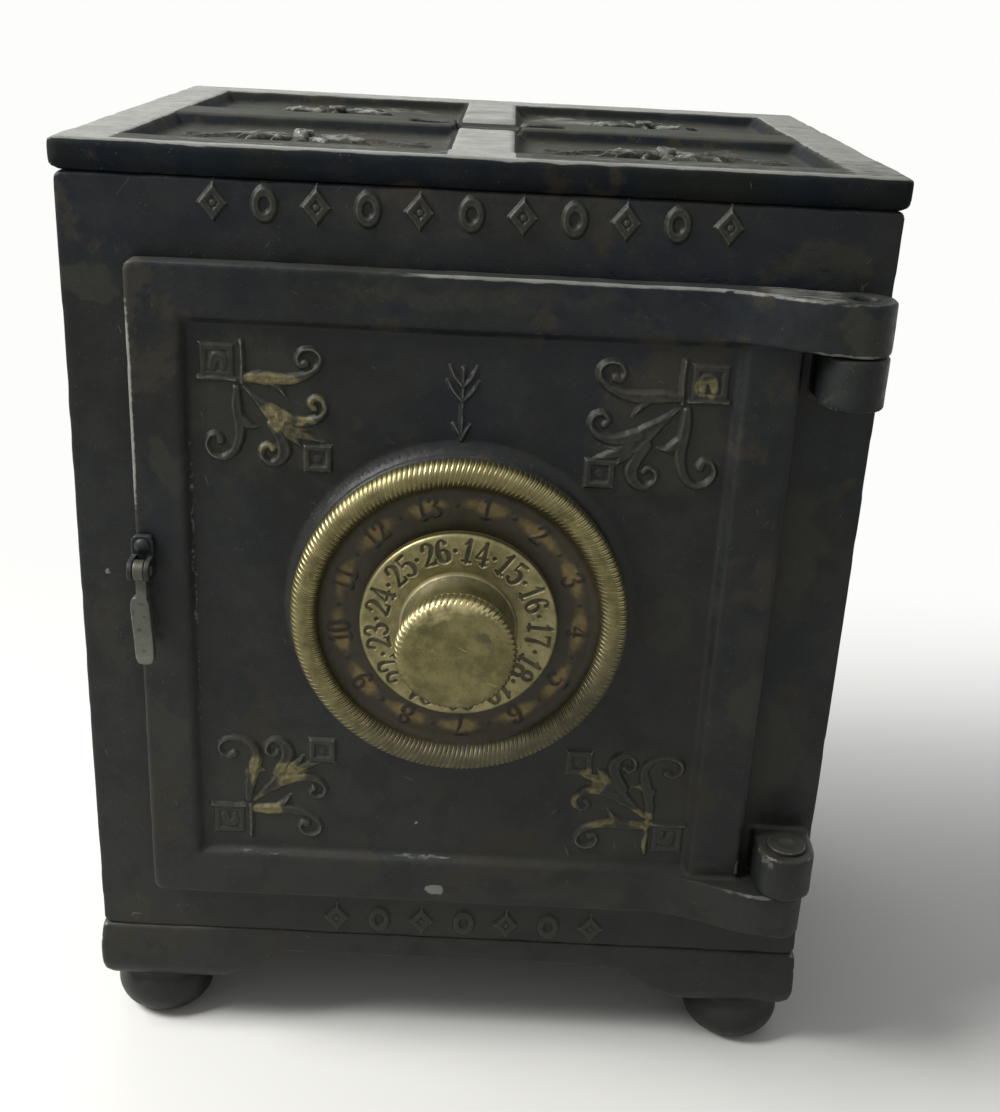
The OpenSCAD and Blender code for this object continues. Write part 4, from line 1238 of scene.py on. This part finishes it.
def knurled_ring(name, middle_r, middle_out, half_w, half_h, material, ridges, depth, per_ridge, section,
                 slant=0.0, lean=0.0, crest=0.0, square=1.0, start=-1.1, end=2.0):
    """Ring with slanted ridges about the dial's axis"""
    piece = new_piece(name, [(0, 0, 0)], [])
    centre = Vector((DIAL_X * MM, (FRONT_Y - middle_out) * MM, DIAL_Z * MM))
    run_tree(piece, KNURL, Ring_radius=middle_r * MM, Half_width=half_w * MM, Half_height=half_h * MM,
             Squareness=square, Ridges=ridges, Steps_per_ridge=per_ridge, Section_steps=section,
             Ridge_depth=depth * MM, Slant=slant, Lean=lean, Smooth_crest=crest, Ridge_start=start,
             Ridge_end=end, Centre=centre, Material=material)
    outwards(piece)
    return piece


# Rings of numbers: the first one, the circle that they stand on, their height and boldness, and the
# angle of the first one
OUTER_NUMBERS = {"first": 1, "middle_r": 18.55, "tall": 3.1, "bold": 1.3, "start": 11.0}
INNER_NUMBERS = {"first": 14, "middle_r": 12.35, "tall": 3.55, "bold": 1.06, "start": 10.0}

# Heights of the raised numbers, of the stamped ones and of the burr round those
OUTER_RAISED = 0.24
INNER_SUNK = 0.24
INNER_BURR = 0.035

# Outer dial: a dished plate whose rim is a knurled half-round bead
rim_middle = DIAL_R - RIM_R
cove_r = 1.8
channel_start = 15.9
channel_end = rim_middle - RIM_R - cove_r + 0.35
dial_profile = (
    [(SLEEVE_R, DIAL_BACK_OUT)]
    + spread((SLEEVE_R, CHANNEL_OUT), (channel_start, CHANNEL_OUT), 8)
    + spread((channel_start, CHANNEL_OUT), (channel_end, CHANNEL_OUT),
             int((channel_end - channel_start) / 0.16))
    + arc((channel_end, CHANNEL_OUT + cove_r), cove_r, -90, -8, 12)
    + [(rim_middle, RIM_OUT + 0.9), (DIAL_R - 0.5, RIM_OUT), (DIAL_R - 0.45, DIAL_BACK_OUT + 0.3),
       (DIAL_R - 0.7, DIAL_BACK_OUT)]
)


def channel_lift(angle, radius, out):
    """Raised numbers and a low uneven floor"""
    on_floor = smooth(radius, 12, 15.5) * (out > CHANNEL_OUT - 0.1)
    raised = smooth(dial_marks(angle, radius, **OUTER_NUMBERS), -0.12, 0.22) * on_floor
    uneven = cloud(flat_spots(angle, radius, out), 1.6, 51)
    return OUTER_RAISED * raised + 0.05 * uneven * on_floor, raised


dial_body = lathe("outer_dial_plate", dial_profile, 640, channel_lift)
mark_relief(dial_body, gain=3.0, blur=1)
away = points_of(dial_body) - DIAL_FRONT
from_numbers = np.hypot(away[:, 0], away[:, 2]) - OUTER_NUMBERS["middle_r"]
turned = (np.degrees(np.arctan2(away[:, 0], away[:, 2])) - OUTER_NUMBERS["start"]) * PER_RING / 360
nearness = 0.5 + 0.5 * np.cos(2 * math.pi * turned)
store(dial_body, "band", np.exp(-(from_numbers / 1.2) ** 2) * (0.30 + 0.85 * nearness))
finish(dial_body, "outer_dial", CHANNEL, ["outer_dial"])
dial_rim = knurled_ring("outer_dial_rim", rim_middle, RIM_OUT, RIM_R, RIM_R, BRASS, RIM_RIDGES, 0.14,
                        per_ridge=8, section=48, lean=-0.8, crest=0.60)
mark_relief(dial_rim, gain=7.0, blur=0)
rim_spots = points_of(dial_rim) - DIAL_FRONT
# Darker towards the bottom and right of the rim: painted shade, leaving the lit top-left bright
darkening = smooth(-rim_spots[:, 2] + 0.35 * rim_spots[:, 0], -10, 22) * 0.50 + 0.04
add_to(dial_rim, "hollow", darkening)
finish(dial_rim, "outer_dial", BRASS)

# Inner dial: a disc with stamped numbers
corner_r = 0.6
numbers_in = 9.6
inner_profile = (
    [(SPINDLE_R, HUB_OUT), (HUB_R, HUB_OUT), (HUB_R, INNER_BACK_OUT), (INNER_R - 0.1, INNER_BACK_OUT),
     (INNER_R, INNER_BACK_OUT + 0.15)]
    + arc((INNER_R - corner_r, INNER_FACE_OUT - corner_r), corner_r, 0, 90, 7)
    + spread((INNER_R - 0.75, INNER_FACE_OUT), (numbers_in, INNER_FACE_OUT), 38)
    + spread((numbers_in, INNER_FACE_OUT), (SPINDLE_R, INNER_FACE_OUT), 6)
    + [(SPINDLE_R, INNER_FACE_OUT)]
)


def stamped(angle, radius, out):
    """Numbers struck into the face, with the metal a little raised round them"""
    face = out > INNER_FACE_OUT - 0.05
    depth = dial_marks(angle, radius, **INNER_NUMBERS)
    struck = INNER_SUNK * smooth(depth, -0.07, 0.13)
    burr = INNER_BURR * np.exp(-((depth + 0.16) / 0.12) ** 2)
    uneven = 0.015 * cloud(flat_spots(angle, radius, out), 1.1, 52)
    return (burr - struck + uneven) * face, smooth(depth, -0.05, 0.08) * face


inner_disc = lathe("inner_dial_disc", inner_profile, 768, stamped)
mark_relief(inner_disc, gain=3.0, blur=1)
finish(inner_disc, "inner_dial", DISC_BRASS, ["inner_dial"])

# Knob: a waisted neck and a head with a ridged side and a slightly hollow face
KNOB_EDGE = 2.2
KNOB_HOLLOW = 0.26
FACE_TARNISH = [(4.2, 3.2, 2.4, 1.2, 0.42), (-3.5, -1.5, 3.0, 2.2, 0.16)]
neck_end = KNOB_OUT - KNOB_HEAD
neck = [(NECK_R + 1.0 * (2 * t - 1.15) ** 2, INNER_FACE_OUT + (neck_end - INNER_FACE_OUT) * t)
        for t in np.linspace(0, 1, 16)]
core_r = KNOB_R - 1.8
face_r = KNOB_R - 2.1
knob_profile = (
    [(0, INNER_FACE_OUT)]
    + neck
    + [(core_r, neck_end + 0.25), (core_r, KNOB_OUT - 0.8)]
    + [(r, KNOB_OUT - 0.02 - KNOB_HOLLOW * (1 - (r / face_r) ** 2)) for r in np.linspace(face_r, 0.4, 24)]
    + [(0, KNOB_OUT - 0.02 - KNOB_HOLLOW)]
)


def handled(angle, radius, out):
    """Small dents of the face"""
    on_face = (out > KNOB_OUT - 0.5) * (radius < face_r - 0.4)
    return 0.03 * cloud(flat_spots(angle, radius, out), 2.6, 53) * on_face, np.zeros(len(angle))


knob_body = lathe("knob_body", knob_profile, 240, handled)
knob_body.data.materials.append(KNOB_BRASS)
knob_edge = knurled_ring("knob_edge", KNOB_R - KNOB_EDGE, KNOB_OUT - KNOB_HEAD / 2, KNOB_EDGE,
                         KNOB_HEAD / 2, KNOB_BRASS, KNOB_RIDGES, 0.18, per_ridge=16, section=56,
                         slant=0.72, square=0.80, start=0.12, end=0.90)
mark_relief(knob_edge, gain=6.0, blur=1)
mark_relief(knob_body, gain=2.5, blur=1)
across, behind, up = (points_of(knob_body) - KNOB_FRONT).T
on_face = soft_spots(across, up, FACE_TARNISH) + 0.06
# The neck and flare behind the head are painted darker as shade, most near the disc; the face gets
# tarnish spots
store(knob_body, "hollow", np.where(behind > 1.5, 0.36 + 0.16 * smooth(behind, 7.5, 9.5), on_face))
across, behind, up = (points_of(knob_edge) - KNOB_FRONT).T
# Painted highlight along the top and upper left of the ridged side, drawn as polish
painted_top_highlight = smooth(up - 0.35 * across, 2.0, 8.0) * (1 - smooth(behind, 2.2, 3.2))
painted_top_highlight *= 0.45 + 0.55 * smooth(behind, 0.3, 1.0)
add_to(knob_edge, "edge", 0.60 * painted_top_highlight)
# The lower side of the ridged band is painted darker as shade
add_to(knob_edge, "hollow", 0.30 * (1 - smooth(up, -7.0, 3.0)) - 0.55 * painted_top_highlight)
knob = join("knob_brass", [knob_body, knob_edge])
finish(knob, "inner_dial", KNOB_BRASS, ["knob"])


# Leaf sprays in the four fields of the top plate

# Leaves of one side as start, end, bow and greatest half width, and the side's stem
SIDE_LEAVES = [
    ((1.5, 0.4), (9.0, -6.0), 0.16, 1.5),
    ((1.6, 0.8), (11.5, -1.2), 0.14, 1.5),
    ((1.4, 1.4), (9.0, 5.2), -0.16, 1.5),
    ((0.8, 0.0), (4.2, -8.4), 0.12, 1.35),
]
STEM = [(1.0, 2.6, 0.5), (6.5, 6.9, 0.6), (12.5, 4.6, 0.65), (16.8, 1.6, 0.6), (19.4, 2.8, 0.5),
        (19.0, 5.2, 0.5), (17.0, 5.3, 0.6)]
LEAF_TALL = 1.6


def leaf_line(start, end, bow, widest):
    """Leaf from a start to an end point, bowed to one side and widest past its middle"""
    start = np.array(start, float)
    end = np.array(end, float)
    along = end - start
    side = np.array([-along[1], along[0]])
    line = []
    for t in np.linspace(0, 1, 7):
        spot = start + along * t + side * bow * math.sin(math.pi * t)
        width = widest * math.sin(math.pi * min(1.0, 0.12 + 0.88 * t)) ** 0.8
        line.append((*spot, max(width, 0.12)))
    return line


def field_shapes():
    """Palmette with leaves to both sides and long curled stems"""
    lines = [leaf_line((0, 0), (0, -9.6), 0.0, 1.6), leaf_line((0, 2), (0, 8.6), 0.0, 1.4)]
    for side in (-1, 1):
        for start, end, bow, widest in SIDE_LEAVES:
            start = (side * start[0], start[1])
            end = (side * end[0], end[1])
            lines.append(leaf_line(start, end, side * bow, widest))
        lines.append([(side * across, down, width) for across, down, width in STEM])
    shapes = [drawn(line, tall=LEAF_TALL, dip=0.30, bold=1.15, rise=1.45) for line in lines]
    shapes.append(lambda spots: ring_height(spots, (0.0, 1.2), 1.1, 0.75, 1.8))
    return shapes


def on_top(middle, turned):
    """From across, down and height in a field of the top to the part's frame"""
    def to_part(points):
        return np.column_stack([
            middle[0] + points[:, 0],
            middle[1] + turned * points[:, 1],
            TOP_Z - TOP_FIELD_DEPTH + points[:, 2],
        ])
    return to_part


field_w = (top_high[0] - top_low[0] - 2 * TOP_RIM - TOP_RIB) / 2
field_d = (top_high[1] - top_low[1] - 2 * TOP_RIM - CROSS_RIB) / 2
for side_x, side_name in ((-1, "left"), (1, "right")):
    for side_y, end_name in ((-1, "front"), (1, "back")):
        middle = (top_middle[0] + side_x * (TOP_RIB + field_w) / 2,
                  top_middle[1] + side_y * (CROSS_RIB + field_d) / 2)
        leaves = relief("top_leaves_" + end_name + "_" + side_name, (-21, 21, -11, 10), 0.18,
                        field_shapes(), on_top(middle, -side_y), seed=41, rough=2.0)
        leaf_spots = points_of(leaves)
        store(leaves, "halo", 1.0)
        # The leaves are pale as painted highlights, most on their crests
        crest = smooth(leaf_spots[:, 2], TOP_Z - 2.0, TOP_Z - 0.9)
        store(leaves, "pale", (0.35 + 0.65 * crest) * (0.48 + 0.24 * cloud(leaf_spots, 3.0, 44)))
        finish(leaves, "safe", TOP_IRON)


# Materials of the CAD nodes that stay

for material, nodes in (
    (STEEL, ["tie_rods", "catch_bar", "catch_screws", "upper_hinge_pin", "handle_pin", "spring_washer",
             "spindle", "spindle_nut"]),
    (INNER_BRASS, ["dial_sleeve", "outer_lock_wheel", "inner_lock_wheel"]),
):
    for node in nodes:
        mesh = frame["nodes"][node].data
        mesh.materials.clear()
        mesh.materials.append(material)


# Floor, light and camera

FLOOR = (0.620, 0.613, 0.582)
BACKGROUND = (0.985, 0.985, 0.965)
DAYLIGHT = (0.96, 0.98, 1.0)
FLOOR_HALF = 16000


def background_rays(graph):
    """1 for what the camera, a polished face or glass sees, 0 for the light on the object"""
    rays = graph.add("ShaderNodeLightPath", "Is Camera Ray")
    for name in ("Is Glossy Ray", "Is Transmission Ray"):
        rays = rays.math("MAXIMUM", graph.add("ShaderNodeLightPath", name))
    return rays


def pale_floor():
    """Large pale floor under the safe, which fades to the white background behind it and far away"""
    corners = [(x * FLOOR_HALF, y * FLOOR_HALF, 0) for x, y in ((-1, -1), (1, -1), (1, 1), (-1, 1))]
    floor = new_piece("floor", corners, [[0, 1, 2, 3]])
    material, graph, shader = new_material("pale floor", colour(*FLOOR))
    shader.inputs["Base Color"].default_value = colour(*FLOOR)
    shader.inputs["Roughness"].default_value = 0.9
    shader.inputs["Specular IOR Level"].default_value = 0.1
    back = graph.add("ShaderNodeSeparateXYZ", "Y", Vector=graph.place())
    away = graph.add("ShaderNodeVectorMath", "Value", {"operation": "LENGTH"}, Vector=graph.place())
    far = graph.step(back, 0, 190 * MM).math("MAXIMUM", graph.step(away, 300 * MM, 900 * MM))
    far = far * background_rays(graph)
    white = graph.add("ShaderNodeEmission", Color=colour(*BACKGROUND), Strength=1.0)
    mixed = material.node_tree.nodes.new("ShaderNodeMixShader")
    plug(material.node_tree, far, mixed.inputs[0])
    material.node_tree.links.new(shader.outputs[0], mixed.inputs[1])
    plug(material.node_tree, white, mixed.inputs[2])
    result = material.node_tree.nodes["Material Output"]
    material.node_tree.links.new(mixed.outputs[0], result.inputs["Surface"])
    floor.data.materials.append(material)


def soft_lamp(name, place, target, size, power):
    """Square area lamp that faces a target, in millimetres and watts"""
    light = bpy.data.lights.new(name, "AREA")
    light.shape = "SQUARE"
    light.size = size * MM
    light.energy = power
    lamp = bpy.data.objects.new(name, light)
    bpy.context.scene.collection.objects.link(lamp)
    aim = (Vector(place) - Vector(target)).normalized().to_track_quat("Z", "Y")
    lamp.matrix_world = Matrix.Translation(Vector(place) * MM) @ aim.to_matrix().to_4x4()


def pale_world(strength):
    """Evenly pale surroundings, which the camera and polished faces see as a white background"""
    world = bpy.data.worlds.new("pale surroundings")
    world.use_nodes = True
    graph = Graph(world.node_tree)
    shown = world.node_tree.nodes["Background"]
    rays = background_rays(graph)
    tone = graph.mix(rays, colour(*DAYLIGHT), colour(*BACKGROUND))
    plug(world.node_tree, tone, shown.inputs["Color"])
    plug(world.node_tree, graph.blend(rays, strength, 1.0), shown.inputs["Strength"])
    bpy.context.scene.world = world


# Camera fitted to the photograph, for an image of 1000 by 1112 pixels
IMAGE_W = 1000.0
IMAGE_H = 1112.0
FOCAL_PX = 1428.673
CENTRE_PX = (500.188, 558.982)
EYE = (4.155, -205.251, 155.614)
YAW, PITCH, ROLL = -0.373, -22.229, -2.919
SENSOR = 36.0


def photo_camera():
    """Camera at the photograph's place; the eye is given from the body's front and the walls' foot"""
    data = bpy.data.cameras.new("camera")
    data.sensor_fit = "HORIZONTAL"
    data.sensor_width = SENSOR
    data.lens = FOCAL_PX / IMAGE_W * SENSOR
    data.shift_x = (IMAGE_W / 2 - CENTRE_PX[0]) / IMAGE_W
    data.shift_y = (CENTRE_PX[1] - IMAGE_H / 2) / IMAGE_W
    data.clip_start = 0.01
    data.clip_end = 100
    camera = bpy.data.objects.new("camera", data)
    bpy.context.scene.collection.objects.link(camera)
    aim = (Matrix.Rotation(math.radians(YAW), 4, "Z") @ Matrix.Rotation(math.radians(PITCH), 4, "X")
           @ Matrix.Rotation(math.radians(ROLL), 4, "Y"))
    upright = Matrix.Rotation(math.pi / 2, 4, "X")
    eye = Vector((EYE[0], EYE[1] + FRONT_Y, EYE[2] + WALL_FOOT)) * MM
    camera.matrix_world = Matrix.Translation(eye) @ aim @ upright
    bpy.context.scene.camera = camera


pale_floor()
soft_lamp("window", (-440, -130, 500), (0, 0, 70), size=280, power=7.0)
soft_lamp("back window", (-150, 620, 560), (0, 0, 120), size=500, power=1.5)
pale_world(0.40)
photo_camera()
bpy.context.scene.view_settings.view_transform = "Standard"
